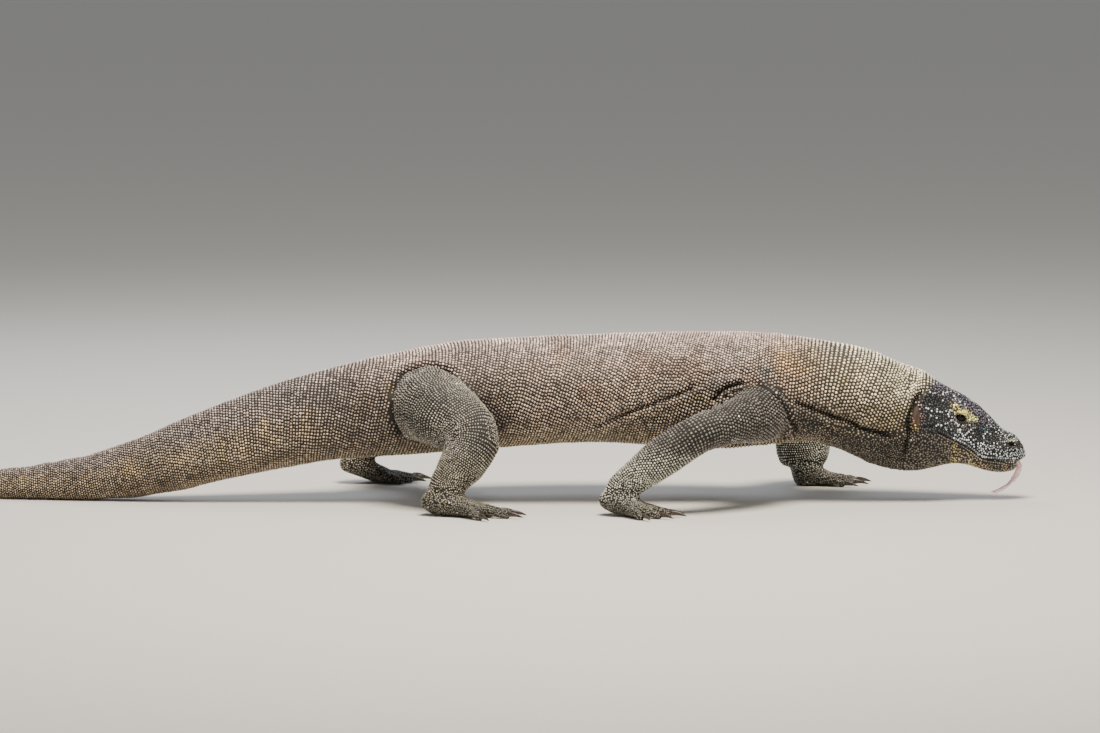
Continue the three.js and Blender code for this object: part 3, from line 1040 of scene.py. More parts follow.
PATCHES = (
    Patch(762, 157, 13, 10, "#191513", 0.8),  # round the eye
    Patch(747, 178, 6, 6.5, "#cfc25a", 0.95, 0.3),  # yellow brow, from behind the eye to before it
    Patch(754, 171, 7, 5, "#d6c75a", 1.0, 0.3),
    Patch(763, 168, 9, 4.5, "#e6da7c", 1.0, 0.2),
    Patch(772, 163, 8, 4.5, "#d3c452", 1.0, 0.3),
    Patch(778, 155, 7, 5, "#ebe29a", 1.0, 0.2),
    Patch(787, 154, 5, 4.5, "#ccd066", 0.95, 0.3),
    Patch(764, 141, 11, 6, "#6d6056", 0.7),  # bag under the eye
    Patch(748, 150, 4, 8, "#9a867c", 0.6),  # lid's pale rim
    Patch(724, 184, 15, 11, "#17161a", 0.85),  # dark temple
    Patch(742, 150, 10, 9, "#2a2a2d", 0.6),  # behind the eye
    Patch(669, 139, 8, 8, "#b89f45", 0.75, 0.4),  # below the ear
    Patch(856, 111.5, 9, 3.6, "#d5d9a8", 0.95, 0.2),  # above the nostril
    Patch(841, 113, 9, 6, "#a9aeae", 0.5, 0.6),
    Patch(807, 131, 5.5, 5, "#5fa3a3", 0.8, 0.4),  # a few blue-green scales
    Patch(700, 118, 34, 26, "#2c2b2c", 0.4),  # cheek
    Patch(806, 128, 22, 14, "#23262c", 0.6),  # before the eye
    Patch(800, 60, 10, 7, "#96683a", 0.4, 0.3),  # chin
    Patch(842, 62, 26, 9, "#453c2d", 0.45, 0.4),
    Patch(803, 81.5, 7, 3, "#cdb9ba", 0.8),  # pale rim of the lip
    Patch(868, 68, 5, 4, "#8f9a98", 0.7),
)
EAR = (Patch(675, 162, 9, 24, "#80594e", 0.9), Patch(679, 166, 4, 16, "#a27e73", 0.6))
BODY_PATCHES = (
    Patch(444, 258, 56, 44, "#a98a5f", 0.75, 0.2),  # ochre over the shoulder
    Patch(425, 262, 22, 16, "#ad8a4c", 0.4, 0.4),
    Patch(538, 236, 46, 34, "#a3925f", 0.5, 0.3),  # straw on the neck's side
    Patch(388, 245, 13, 22, "#70777c", 0.6, 0.3),  # grey smudge behind it
    Patch(392, 284, 9, 14, "#4f3c36", 0.5, 0.3),
    Patch(212, 250, 30, 18, "#6b5140", 0.5, 0.4),  # rusty smudge on the ribs
    Patch(255, 280, 16, 12, "#6f5543", 0.4, 0.4),
    Patch(60, 262, 34, 16, "#6f5847", 0.3, 0.4),
    Patch(325, 272, 52, 36, "#a3978f", 0.5, 0.2),  # dust over the shoulder blade
    Patch(262, 192, 16, 9, "#84834a", 0.5, 0.4),
    Patch(300, 215, 30, 14, "#4d4b4a", 0.5, 0.2),  # dark skin over the armpit
    Patch(90, 300, 120, 16, "#b5a79c", 0.35, 0.3),
    Patch(655, 232, 40, 34, "#d8ceb2", 0.7, 0.4),  # cream scales behind the crown
    Patch(620, 150, 34, 22, "#8b7f55", 0.4, 0.4),
    Patch(-320, 205, 9, 28, "#9c8446", 0.6, 0.3, True),  # yellow skin behind the thigh
    # painted shade over the lower base of the tail
    Patch(-395, 110, 95, 45, "#4d443b", 0.4),
    Patch(-298, 145, 14, 34, "#1f1a14", 0.6, 0.0, True),  # shade behind the thigh
    Patch(-112, 150, 20, 26, "#241e17", 0.7, 0.0, True),  # shade before the thigh
    Patch(-138, 182, 20, 22, "#241e17", 0.75, 0.0, True),
    Patch(-168, 215, 20, 18, "#2a231b", 0.7, 0.0, True),
    Patch(470, 150, 34, 28, "#413f3a", 0.85),  # dark skin of the breast
    # painted shade over the base of the tail, behind the thigh
    Patch(-380, 165, 75, 75, "#574e46", 0.6),
    Patch(190, 165, 60, 18, "#6b6049", 0.45, 0.2),  # painted shade under the fold of the flank, a little olive
)
# The outline along the body: place, top, bottom. The outline of the head: place, top.
BODY_DEPTH = np.array((
    (-1600, 8, 0), (-900, 86, 2), (-500, 230, 66), (-100, 305, 102),
    (300, 318, 98), (600, 282, 64), (700, 240, 56),
))
HEAD_TOP = np.array(((640, 262), (757, 206), (817, 160), (866, 123), (887, 90)))


def layered(base: str | Rows, *layers: tuple[str | Rows, Array]) -> Rows:
    """Colours laid one over the other.

    Args:
        base: the lowest colour.
        *layers: the others, each with its share from 0 to 1 at each point.

    Returns:
        Rows of linear colour.
    """
    made = rgb(base) if isinstance(base, str) else base
    for colour, share in layers:
        made = mix(made, rgb(colour) if isinstance(colour, str) else colour, share)
    return made


def patched(made: Rows, points: Rows, patches: tuple[Patch, ...]) -> Rows:
    """Colours with soft ovals laid over them.

    Args:
        made: rows of linear colour.
        points: their places.
        patches: the ovals.

    Returns:
        The new rows.
    """
    x, y, _ = points.T
    height = apparent(points)
    for patch in patches:
        reach = flat_reach(x, height, (patch.x, patch.height), (patch.long, patch.tall))
        share = patch.strength * np.exp(-(reach**2) * 1.1) * smoothstep(np.abs(y), 8, 20)
        if patch.right_only:
            share = share * (y < 0)
        if patch.speckle:
            share = share * (1 + patch.speckle * (2.4 * smoothstep(noise(points, 6, 34), 0.4, 0.65) - 1.2))
        made = mix(made, rgb(patch.colour), np.clip(share, 0, 1))
    return made


@dataclass(frozen=True)
class Markings:
    """The colours of the hide, the same for the skin and its scales."""

    trunk: str = "#8a7b6d"
    # paler back: part dust, part painted light on the top
    back: str = "#ab998f"
    belly: str = "#7a705a"
    rust: str = "#84624a"
    tail: str = "#8e7f6b"
    tail_top: str = "#8f8485"
    tail_spot: str = "#b39a6e"
    tail_band: str = "#6a5d4a"
    tail_low: str = "#55493a"
    neck_top: str = "#cfc5ad"
    neck_side: str = "#766955"
    throat: str = "#504a41"
    upper_leg: str = "#57524c"
    lower_leg: str = "#98978a"
    shank: str = "#7d7768"
    foot: str = "#575449"
    thigh: str = "#757067"
    crown: str = "#504d59"
    face: str = "#2e2f33"
    snout: str = "#3a3a36"
    lip: str = "#5b636b"
    jaw: str = "#776d5d"
    pale: str = "#b4bbbf"
    straw: str = "#b3a25c"

    def colour_and_painted_light(self, points: Rows, limb: Array) -> Rows:
        """The hide's colour, with the painted shade and painted light that some of its marks carry.

        Args:
            points: places on the hide.
            limb: how far each belongs to a leg, from 0 to 1.

        Returns:
            Rows of linear colour.
        """
        made = mix(self.body_colour(points), self.leg_colour(points), limb)
        front = points[:, 0] > 600
        if front.any():
            near = points[front]
            edge = near[:, 0] - head_edge(near) + 16 * (noise(near, 9, 36) - 0.5) + 4
            made[front] = mix(made[front], self.head_colour(near), smoothstep(edge, -9, 9))
            made[front] = patched(made[front], near, EAR)
        dusty = 0.78 + 0.44 * noise(points, 58, 11)
        fine = 0.76 + 0.48 * noise(points, 13, 12)
        return made * (dusty * fine)[:, None]

    def body_colour(self, points: Rows) -> Rows:
        """The colour of the trunk, neck and tail, with painted shade in some of its patches and painted light
        on the back.

        Args:
            points: places on the hide.

        Returns:
            Rows of linear colour.
        """
        x, _, z = points.T
        top, low = (np.interp(x, BODY_DEPTH[:, 0], BODY_DEPTH[:, k]) for k in (1, 2))
        level = np.clip((z - low) / np.maximum(top - low, 1), 0, 1)
        spots = smoothstep(noise(points, 20, 25), 0.6, 0.8) * smoothstep(level, 0.2, 0.4)
        spots *= smoothstep(level, 0.8, 0.6)
        bands = smoothstep(np.sin(x / 46.0) + 1.2 * (noise(points, 60, 21) - 0.5), 0.1, 0.9)
        yellow = smoothstep(noise(points, 22, 23), 0.55, 0.8)
        rusty = smoothstep(noise(points, 52, 24), 0.55, 0.8) * smoothstep(level, 0.3, 0.6)
        rusty *= smoothstep(x, -420, -300)
        neck = layered(
            self.throat,
            (self.neck_side, smoothstep(level, 0.2, 0.52)),
            (self.neck_top, smoothstep(level, 0.45, 0.85)),
        )
        made = layered(
            self.trunk,
            # paler towards the top: dust, and painted light on the back
            (self.back, smoothstep(level, 0.5, 0.95)),
            (self.belly, 0.75 * smoothstep(level, 0.3, 0.08)),
            (self.tail, smoothstep(x, -300, -620)),
            (self.tail_top, 0.6 * smoothstep(level, 0.5, 0.8) * smoothstep(x, -330, -480)),
            (self.tail_spot, 0.5 * spots * smoothstep(x, -330, -420)),
            (self.tail_band, 0.28 * bands * smoothstep(x, -500, -760)),
            (self.tail_low, 0.45 * smoothstep(level, 0.45, 0.1) * smoothstep(x, -350, -520)),
            (neck, smoothstep(x, 420, 560)),
            (self.straw, 0.25 * yellow * smoothstep(x, 600, 660)),
            (self.rust, 0.35 * rusty * smoothstep(x, 420, 340)),
        )
        return patched(made, points, BODY_PATCHES)

    def leg_colour(self, points: Rows) -> Rows:
        """The colour of the legs.

        Args:
            points: places on the hide.

        Returns:
            Rows of linear colour.
        """
        x, _, z = points.T
        hind = smoothstep(x, 60, 0)
        lower = layered(self.lower_leg, (self.shank, hind))
        layers = ((self.thigh, hind), (lower, smoothstep(z, 140, 90)), (self.foot, smoothstep(z, 46, 18)))
        return layered(self.upper_leg, *layers)

    def head_colour(self, points: Rows) -> Rows:
        """The colour of the head, with its marks.

        Args:
            points: places on the hide.

        Returns:
            Rows of linear colour.
        """
        x, _, z = points.T
        above = apparent(points) - lip_height(x)
        below = smoothstep(-above, 0, 5)
        bars = smoothstep(np.sin(x / 5.6) + 1.8 * (noise(points, 9, 31) - 0.5), 0.2, 0.8)
        made = layered(
            np.broadcast_to(rgb(self.face), points.shape),
            (self.crown, smoothstep(np.interp(x, *HEAD_TOP.T) - z, 34, 14)),
            (self.snout, smoothstep(x, 800, 840)),
            (self.lip, 0.85 * (hill(above, 6, 8) * smoothstep(x, 724, 760))),
            (layered(self.jaw, (self.throat, smoothstep(x, 760, 700))), below),
            (self.straw, 0.42 * bars * below * smoothstep(x, 736, 750) * smoothstep(x, 800, 785)),
        )
        return patched(made, points, PATCHES)

    def pale_chance(self, points: Rows, region: Array, limb: Array) -> Array:
        """How often a scale is a pale one.

        Args:
            points: the scales' places.
            region: their region numbers.
            limb: how far each belongs to a leg.

        Returns:
            A chance from 0 to 1 for each.
        """
        x, height = points[:, 0], apparent(points)
        above = height - lip_height(x)
        clumps = smoothstep(noise(points, 15, 35), 0.3, 0.65)
        head = 0.09 + 0.36 * clumps**2
        head += 0.6 * smoothstep(above, 1, 6) * smoothstep(above, 34, 12) * smoothstep(x, 730, 765)
        head += 0.16 * smoothstep(x, 825, 850) * clumps
        head *= 1 - 0.85 * hill(flat_reach(x, height, (724, 182), (18, 14)))  # temple
        head *= np.where(above < 0, 0.06, 1.0)
        head *= 1 - 0.95 * smoothstep(x, 690, 674)
        head *= 1 - 0.9 * hill(flat_reach(x, height, (765, 168), (26, 11)))  # brow
        head *= 1 - 0.8 * np.exp(-(flat_reach(x, height, (760, 156), (15, 13)) ** 4))  # round the eye
        return np.where(region == Region.HEAD.value, head, 0.008 * limb)


# --- the coat


@dataclass(frozen=True)
class Bead:
    """The shape of one scale: a low hexagonal dome whose skirt sits in the skin."""

    skirt: float = -0.3
    shoulder: float = 0.62
    shoulder_reach: float = 0.74
    corners: int = 6

    def template(self) -> tuple[Rows, Array, Array]:
        """One scale of radius 1 and height 1.

        Returns:
            Its points, its triangles, and how near each point is to the crown.
        """
        n = self.corners
        turns = np.arange(n) * math.pi / 3 + math.pi / 6
        circle = np.stack([np.cos(turns), np.sin(turns)], axis=1)
        low = np.column_stack([circle, np.full(n, self.skirt)])
        high = np.column_stack([circle * self.shoulder_reach, np.full(n, self.shoulder)])
        faces = []
        for k, after in zip(range(n), (*range(1, n), 0)):
            faces += [(k, after, n + after), (k, n + after, n + k), (n + k, n + after, 2 * n)]
        # the finish paints shade at the rim and a highlight at the crown from these shares
        crown = np.concatenate([np.zeros(n), np.full(n, 0.5), [1.0]])
        return np.concatenate([low, high, [[0, 0, 1.0]]]), np.array(faces), crown


@dataclass
class Roots:
    """Where scales stand: rows of place, outward way, travel way, with sizes in mm."""

    place: Rows
    out: Rows
    along: Rows
    pitch: Array
    region: Array
    limb: Array

    def part(self, chosen: Array) -> "Roots":
        """Some of the rows."""
        return Roots(*(getattr(self, f.name)[chosen] for f in fields(self)))

    @staticmethod
    def joined(parts: list["Roots"]) -> "Roots":
        """Several sets of rows as one."""
        return Roots(*(np.concatenate([getattr(p, f.name) for p in parts]) for f in fields(Roots)))


MOST_CUTS = 3  # the most rows that cross one triangle, and the most scales on one crossing
# Columns of the numbers that are carried across the triangles.
PLACE, OUT, ALONG = slice(0, 3), slice(3, 6), slice(6, 9)
PITCH, COSINE, SINE, LIMB, ROW = range(9, 14)

# The spacing of scales in mm, by place along the body or by height on a leg.
BODY_PITCH = np.array((
    (-1600, 3.4), (-1200, 4.2), (-800, 5.4), (-500, 6.2), (-200, 6.4),
    (300, 6.4), (480, 6.9), (580, 7.3), (650, 6.6), (720, 5.8),
))
FORELEG_PITCH = np.array(((10, 3.6), (45, 4.2), (90, 5.4), (150, 6.8), (200, 6.8)))
HINDLEG_PITCH = np.array(((10, 3.6), (45, 4.2), (90, 4.6), (150, 5.0), (220, 5.6)))
HEAD_PITCH = np.array(((650, 5.0), (700, 5.0), (760, 4.6), (860, 3.8), (887, 3.4)))
# The radius of scales as a share of their spacing, by place along the body.
BODY_FILL = np.array(((-1600, 0.44), (-300, 0.428), (300, 0.428), (560, 0.425), (660, 0.395)))
EYE_FILL = np.array(((26, 0.58), (36, 0.48)))


@dataclass
class Coat:
    """The scales: rings of beads round the body and legs, and a tight scatter on the head and feet."""

    place: Place
    skin: Surface
    markings: Markings
    eyes: dict[Side, Array]
    # how deep in a crease each skin point lies, which sets the painted shade
    carved: Array
    bead: Bead = field(default_factory=Bead)
    height: float = 2.0
    lean: float = 0.35
    wander: float = 1.0  # how far rows stray, in rows
    unevenness: float = 0.13  # how much the spacing drifts from place to place
    row_gap: float = 0.87  # the gap between rows, as a share of the spacing
    ring_clearance: float = 0.66  # ring scales nearer than this share of the spacing are thinned
    scatter_gap: float = 0.94
    ear_glow: float = 6.0  # the ear's drum is bare, so it keeps its colour
    turn_scattered: float = 3.0  # how far scales turn, in radians
    turn_ringed: float = 0.16
    stray: float = 0.045  # how far scales stray, as a share of the spacing
    tilt: float = 0.05
    sizes: tuple[float, float] = (0.86, 1.08)  # as shares of the usual size
    heights: tuple[float, float] = (0.85, 1.15)
    floor: float = 0.25  # the least height over the floor
    paleness: tuple[float, float] = (0.35, 0.95)  # how pale the pale scales are
    light_spread: float = 0.3  # how unlike in lightness neighbours are
    light_range: tuple[float, float] = (0.45, 1.9)
    dark_chance: float = 0.05
    dark_share: float = 0.45  # the light that a dark scale keeps
    piece_limit: int = 10800
    bake_patch: float = 0.0015  # half the size of a scale's patch on the unwrapped skin

    def __post_init__(self) -> None:
        """Reads the regions, the rows and the pitches off the skin once."""
        self.out = unit(self.skin.smoothed(self.skin.normals(), 3))
        self.region = self.find_regions()
        drift = 1 + self.unevenness * (noise(self.skin.points, 42, 44) - 0.5)
        self.pitch = self.pitch_at(self.skin.points, self.region) * np.where(self.region > 0, drift, 1.0)
        legs = (self.region > 1).astype(float)[:, None]
        self.limb = smoothstep(self.skin.smoothed(legs, 40)[:, 0], 0.25, 0.9)
        self.finder = kd_tree(self.skin.points)
        self.skin_tree = self.skin.tree()

    def find_regions(self) -> Array:
        """Each point's region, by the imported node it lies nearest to.

        Returns:
            One region number for each point.
        """
        points = self.skin.points
        y = points[:, 1]
        region = np.where(points[:, 0] > head_edge(points), Region.HEAD.value, Region.AXIAL.value)
        gap = self.distance(TRUNK_NODES, np.abs(y) > 30)
        for leg in list(Region)[2:]:
            flank = (y < -30) if "RIGHT" in leg.name else (y > 30)
            limit = flank & (region == Region.AXIAL.value)
            own = self.distance(leg_nodes(leg.leg), limit)
            region[limit & (own < gap)] = leg.value
            gap = np.minimum(gap, own)
        return region

    def distance(self, nodes: tuple[str, ...], limit: Array) -> Array:
        """How far the skin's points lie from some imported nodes.

        Args:
            nodes: the nodes' names.
            limit: the points to measure.

        Returns:
            Distances, endless where not measured.
        """
        points = self.skin.points
        made = np.full(len(points), 1e6)
        solids = [packed(name, self.place) for name in nodes]
        rows, faces = joined([(solid.points, solid.triangles) for solid in solids])
        tree = BVHTree.FromPolygons(rows.tolist(), faces.tolist())
        inside = limit & ((points > rows.min(axis=0) - 30) & (points < rows.max(axis=0) + 30)).all(axis=1)
        made[inside] = [tree.find_nearest(Vector(p))[3] for p in points[inside]]
        return made

    def pitch_at(self, points: Rows, region: Array) -> Array:
        """The spacing of scales.

        Args:
            points: places.
            region: their region numbers.

        Returns:
            Millimetres from one scale to the next.
        """
        x, _, z = points.T
        body = np.interp(x, *BODY_PITCH.T) - 2.6 * under_neck(points)
        leg = np.where(x > 60, np.interp(z, *FORELEG_PITCH.T), np.interp(z, *HINDLEG_PITCH.T))
        head = np.interp(x, *HEAD_PITCH.T) + 0.6 * smoothstep(z, 90, 70)
        for eye in self.eyes.values():
            head = np.minimum(head, np.interp(np.linalg.norm(points - eye, axis=1), [14, 30], [2.6, 5.2]))
        return np.where(region == 0, head, np.where(region > 1, leg, body))

    def keep_bare(self, points: Rows) -> Array:
        """Where no scale stands: the eyes' openings, the nostrils, the ears' drums and the soles.

        Args:
            points: places.

        Returns:
            True where the skin stays bare.
        """
        made = points[:, 2] < 1.0
        ahead, up = EYE.axes()
        for side in Side:
            off = points - self.eyes[side]
            lids = flat_reach(off @ ahead, off @ up, (0, 0), EYE.opening)
            made |= (lids < 1.16) & (off[:, 1] * side.value > -8)
            made |= oval(points, side.at(*EAR_SPOT), (6.2, 16, 19)) < 1
            made |= oval(points, side.at(NOSTRIL_X, 25, NOSTRIL_Z), (6.5, 6, 4.6)) < 1
        return made

    def relief(self, roots: Roots) -> Array:
        """How high scales stand.

        Args:
            roots: the scales.

        Returns:
            Heights in millimetres.
        """
        face = (roots.region == 0) * smoothstep(roots.place[:, 0], 660, 740)
        paw = (roots.region > 1) * smoothstep(roots.place[:, 2], 50, 25)
        made = self.height * np.clip(roots.pitch / 6.2, 0.4, 1.15)
        return made * (1 - 0.4 * np.clip(face + paw, 0, 1))

    def nearest(self, points: Rows) -> Array:
        """The numbers of the skin's own points nearest to some places."""
        return np.array([self.finder.find(spot)[1] for spot in points])

    def shade(self, nearest: Array) -> Array:
        """How much of its colour the hide keeps at its own points: the creases are darkened with painted shade.
        """
        return (1 - 0.82 * smoothstep(self.carved[nearest], 0.2, 0.8))[:, None]

    def fill_at(self, roots: Roots) -> Array:
        """How much of its place a scale fills: tight on the back, set apart on the legs.

        Args:
            roots: the scales.

        Returns:
            The scales' radii as shares of their spacing.
        """
        x, _, z = roots.place.T
        made = np.interp(x, *BODY_FILL.T) + 0.035 * under_neck(roots.place)
        made = made + (0.425 - made) * roots.limb
        made = made + (0.52 - made) * (roots.region > 1) * smoothstep(z, 60, 30)
        away = np.min([np.linalg.norm(roots.place - eye, axis=1) for eye in self.eyes.values()], axis=0)
        jaw = 0.036 * smoothstep(lip_height(x) - apparent(roots.place), 2, 12)
        return np.where(roots.region == 0, np.interp(away, *EYE_FILL.T) + jaw, made)

    def paint_skin(self, obj: Object) -> None:
        """Gives the shown skin the scales' markings, with painted shade in the creases.

        Args:
            obj: the skin, thinned.
        """
        points = self.place.local(point_array(obj.data))
        nearest = self.nearest(points)
        # the markings, darkened by painted shade in the creases
        tint = self.markings.colour_and_painted_light(points, self.limb[nearest]) * self.shade(nearest)
        tint[self.keep_bare(points) & (np.abs(points[:, 0] - EAR_SPOT[0]) < 20)] *= self.ear_glow
        paint_points(obj.data, "tint", tint)
        LOG.info("skin: %d faces shown", len(obj.data.polygons))

    def leaning(self, x: Array) -> Array:
        """How much the rows lean forward at the top, at places along the body."""
        return self.lean * smoothstep(x, 580, 120) * smoothstep(x, -900, -350)

    def carried(self, region: Region) -> Array:
        """What is carried across the triangles: place, ways, spacing, turn, limb and row number.

        Args:
            region: the region whose axis the rows follow.

        Returns:
            One row of numbers for each point of the skin.
        """
        axis = region.axis
        points = self.skin.points
        walked, angle = axis.locate(points)
        walked = self.skin.smoothed(walked[:, None], 60)[:, 0]
        marks = np.linspace(0, axis.length(), 600)
        spots = axis.at(marks)
        slope = np.zeros(len(marks))
        if region is Region.AXIAL:
            walked = walked + self.leaning(points[:, 0]) * (points[:, 2] - 200)
            slope = self.leaning(spots[:, 0])
            spots = spots + np.array([0, 0, 60])
        pitch = self.pitch_at(spots, np.full(len(spots), region.value)) * np.hypot(1, slope)
        rows = summed(np.diff(marks) / (self.row_gap * 0.5 * (pitch[1:] + pitch[:-1])))
        row = np.interp(walked, marks, rows) + self.wander * (noise(points, 70, 43) - 0.5)
        ways = [self.out, axis.frames(walked)[1]]
        return np.column_stack([points, *ways, self.pitch, np.cos(angle), np.sin(angle), self.limb, row])

    def rings(self, data: Array, region: Region, allowed: Array) -> Roots:
        """Scales in rings across the axis of a region, each row set between the last one's scales.

        Args:
            data: what is carried across the triangles.
            region: the region.
            allowed: the points of the skin where rings run.

        Returns:
            The scales' roots.
        """
        tri = self.skin.triangles[allowed[self.skin.triangles].all(axis=1)]
        span = data[tri, ROW]
        low, high = span.min(axis=1), span.max(axis=1)
        pieces = []
        for step in range(MOST_CUTS):
            level = np.ceil(low) + step
            cut = (level > low) & (level < high) & (high - low < MOST_CUTS)
            pieces.append(self.cuts(data, tri[cut], level[cut]))
        return self.walk_rings(*(np.concatenate(ends) for ends in zip(*pieces)), region)

    def cuts(self, data: Array, tri: Array, level: Array) -> tuple[Array, ...]:
        """Where row lines cross triangles.

        Args:
            data: what is carried across the triangles.
            tri: rows of three point numbers.
            level: the row that crosses each.

        Returns:
            The carried numbers at both ends of each crossing, and the rows.
        """
        ends, inside = [], []
        for i, j in ((0, 1), (1, 2), (2, 0)):
            a, b = data[tri[:, i]], data[tri[:, j]]
            rise = b[:, ROW] - a[:, ROW]
            share = (level - a[:, ROW]) / np.where(np.abs(rise) < 1e-9, 1e-9, rise)
            inside.append((share >= 0) & (share < 1))
            ends.append(a + np.clip(share, 0, 1)[:, None] * (b - a))
        found = np.stack(inside, axis=1)
        order = np.argsort(~found, axis=1, kind="stable")[:, :2]
        stack = np.stack(ends, axis=1)
        pick = np.arange(len(tri))
        good = found.sum(axis=1) == 2
        return stack[pick, order[:, 0]][good], stack[pick, order[:, 1]][good], level[good]

    def walk_rings(self, start: Array, stop: Array, level: Array, region: Region) -> Roots:
        """Sets scales at even steps round each ring.

        Args:
            start: the carried numbers at one end of each crossing.
            stop: the same at the other.
            level: each crossing's row.
            region: the region.

        Returns:
            The scales' roots.
        """
        first, last = (np.arctan2(end[:, SINE], end[:, COSINE]) for end in (start, stop))
        swap = (last - first + math.pi) % (2 * math.pi) - math.pi < 0
        start[swap], stop[swap] = stop[swap].copy(), start[swap].copy()
        middle = (start + stop) / 2
        angle = np.arctan2(middle[:, SINE], middle[:, COSINE])
        order = np.lexsort((angle, level))
        start, stop, level, angle, middle = (rows[order] for rows in (start, stop, level, angle, middle))
        steps = np.linalg.norm(stop[:, PLACE] - start[:, PLACE], axis=1) / middle[:, PITCH]
        before = np.cumsum(steps) - steps
        back: dict[float, tuple[float, float]] = {}
        for number, turned, walked in zip(level, np.abs(angle), before):
            if number not in back or turned < back[number][0]:
                back[number] = (turned, walked)
        count = before - np.array([back[number][1] for number in level]) + 0.5 * (level % 2)
        made = []
        for step in range(MOST_CUTS):
            whole = np.ceil(count) + step
            hit = (whole < count + steps) & (steps > 1e-6)
            share = ((whole - count)[hit] / steps[hit])[:, None]
            made.append(start[hit] + share * (stop[hit] - start[hit]))
        return self.as_roots(np.concatenate(made), region)

    def as_roots(self, data: Array, region: Region) -> Roots:
        """Rows of carried numbers as roots."""
        own, out, along = np.full(len(data), region.value), unit(data[:, OUT]), unit(data[:, ALONG])
        return Roots(data[:, PLACE], out, along, data[:, PITCH], own, data[:, LIMB])

    def scatter(self, data: Array, region: Region, allowed: Array, taken: Roots) -> Roots:
        """Scales set close together by an advancing front, where rings don't run.

        Args:
            data: what is carried across the triangles.
            region: the region.
            allowed: the points of the skin where they may stand.
            taken: the scales already set near by.

        Returns:
            The scales' roots.
        """
        rng = np.random.default_rng(SEED + region.value)
        tri = self.skin.triangles[allowed[self.skin.triangles].all(axis=1)]
        a, b, c = (self.skin.points[tri[:, k]] for k in range(3))
        share = np.linalg.norm(np.cross(b - a, c - a), axis=1) / 2 / self.pitch[tri].mean(axis=1) ** 2
        wanted = int(share.sum() * 9)
        chosen = rng.choice(len(tri), wanted, p=share / share.sum())
        weight = rng.dirichlet((1, 1, 1), wanted)
        spots = sum(weight[:, k, None] * data[tri[chosen, k]] for k in range(3))
        tree = kd_tree(spots[:, PLACE])
        alive = np.ones(wanted, bool)
        queue: list[tuple[float, int]] = []
        for spot, pitch in zip(taken.place, taken.pitch):
            for _, number, away in tree.find_range(spot, 1.2 * pitch):
                if away < 0.5 * (pitch + spots[number, PITCH]) * 0.9:
                    alive[number] = False
                else:
                    heapq.heappush(queue, (away, number))
        kept = []
        for fresh in range(wanted):
            if alive[fresh]:
                heapq.heappush(queue, (1e3, fresh))
            while queue:
                _, number = heapq.heappop(queue)
                if not alive[number]:
                    continue
                kept.append(number)
                radius = spots[number, PITCH] * self.scatter_gap
                for _, other, away in tree.find_range(spots[number, PLACE], radius * 1.3):
                    if away < radius:
                        alive[other] = False
                    elif alive[other]:
                        heapq.heappush(queue, (away / radius, other))
        return self.as_roots(spots[kept], region)

    def on_skin(self, places: Rows, pitch: float) -> Roots:
        """Scales of the face at chosen places.

        Args:
            places: places near the skin, in order along a row.
            pitch: their spacing.

        Returns:
            The scales' roots.
        """
        hits = [self.skin_tree.find_nearest(Vector(p)) for p in places]
        spots, out = (np.array([list(hit[k]) for hit in hits]) for k in (0, 1))
        zero = np.zeros(len(spots))
        return Roots(spots, out, unit(np.gradient(spots, axis=0)), zero + pitch, zero.astype(int), zero)

    def lid_rows(self) -> Roots:
        """Rings of granules round the eyes.

        Returns:
            The roots of those that stand clear of each other.
        """
        ahead, up = EYE.axes()
        made = []
        for side in Side:
            for reach, pitch in ((1.3, 2.3), (1.62, 2.8), (1.98, 3.3)):
                long, tall = EYE.opening[0] * reach, EYE.opening[1] * reach
                count = int(math.pi * (long + tall) / pitch)
                turns = np.arange(count)[:, None] * 2 * math.pi / count
                spots = self.eyes[side] + long * np.cos(turns) * ahead + tall * np.sin(turns) * up
                spots[:, 1] += side.value * 14
                made.append(self.on_skin(spots, pitch))
        return self.spaced(Roots.joined(made))

    def spaced(self, roots: Roots, share: float = 0.88) -> Roots:
        """Scales without those that crowd earlier ones.

        Args:
            roots: the scales.
            share: the least gap between two, as a share of the spacing.

        Returns:
            The scales kept.
        """
        kept: list[int] = []
        for number, spot in enumerate(roots.place):
            near = np.linalg.norm(roots.place[kept] - spot, axis=1)
            if not kept or near.min() > share * roots.pitch[number]:
                kept.append(number)
        return roots.part(np.array(kept))

    def lip_rows(self) -> list[Roots]:
        """The rows of scales that edge the lips.

        Returns:
            The rows.
        """
        made = []
        for rise, pitch in ((4.2, 4.7), (-4.0, 4.5)):
            line = seen_from_right(self.skin_tree, np.array(LIP_LINE) + np.array([0, rise]))
            marks = summed(spans(line))
            row = read_line(np.arange(0, marks[-1], pitch), marks, line)
            made += [self.on_skin(row, pitch), self.on_skin(row * MIRROR, pitch)]
        return made

    def ringed(self, region: Region) -> Array:
        """Which of the skin's points lie where a region's rings run.

        Args:
            region: the region.

        Returns:
            True for those points.
        """
        points = self.skin.points
        if region is Region.AXIAL:
            usual = self.pitch_at(points * np.array([1, 1, 0]) + np.array([0, 0, 260]), self.region)
            return (self.pitch > 0.86 * usual) & (points[:, 0] > -1560)
        return points[:, 2] > 50

    def roots(self) -> Roots:
        """Every scale of the animal.

        Returns:
            The roots.
        """
        points = self.skin.points
        bare = self.keep_bare(points)
        parts = [self.lid_rows(), *self.lip_rows()]
        for region in Region:
            data = self.carried(region)
            own = (self.region == region.value) & ~bare
            if region is not Region.HEAD:
                parts.append(self.unfolded(self.rings(data, region, own & self.ringed(region))))
            taken = Roots.joined(parts)
            low, high = points[own].min(axis=0) - 10, points[own].max(axis=0) + 10
            taken = taken.part(((taken.place > low) & (taken.place < high)).all(axis=1))
            parts.append(self.scatter(data, region, own, taken))
            LOG.info("%s: %d near by, %d scattered", region.name, len(taken.place), len(parts[-1].place))
        return Roots.joined(parts)

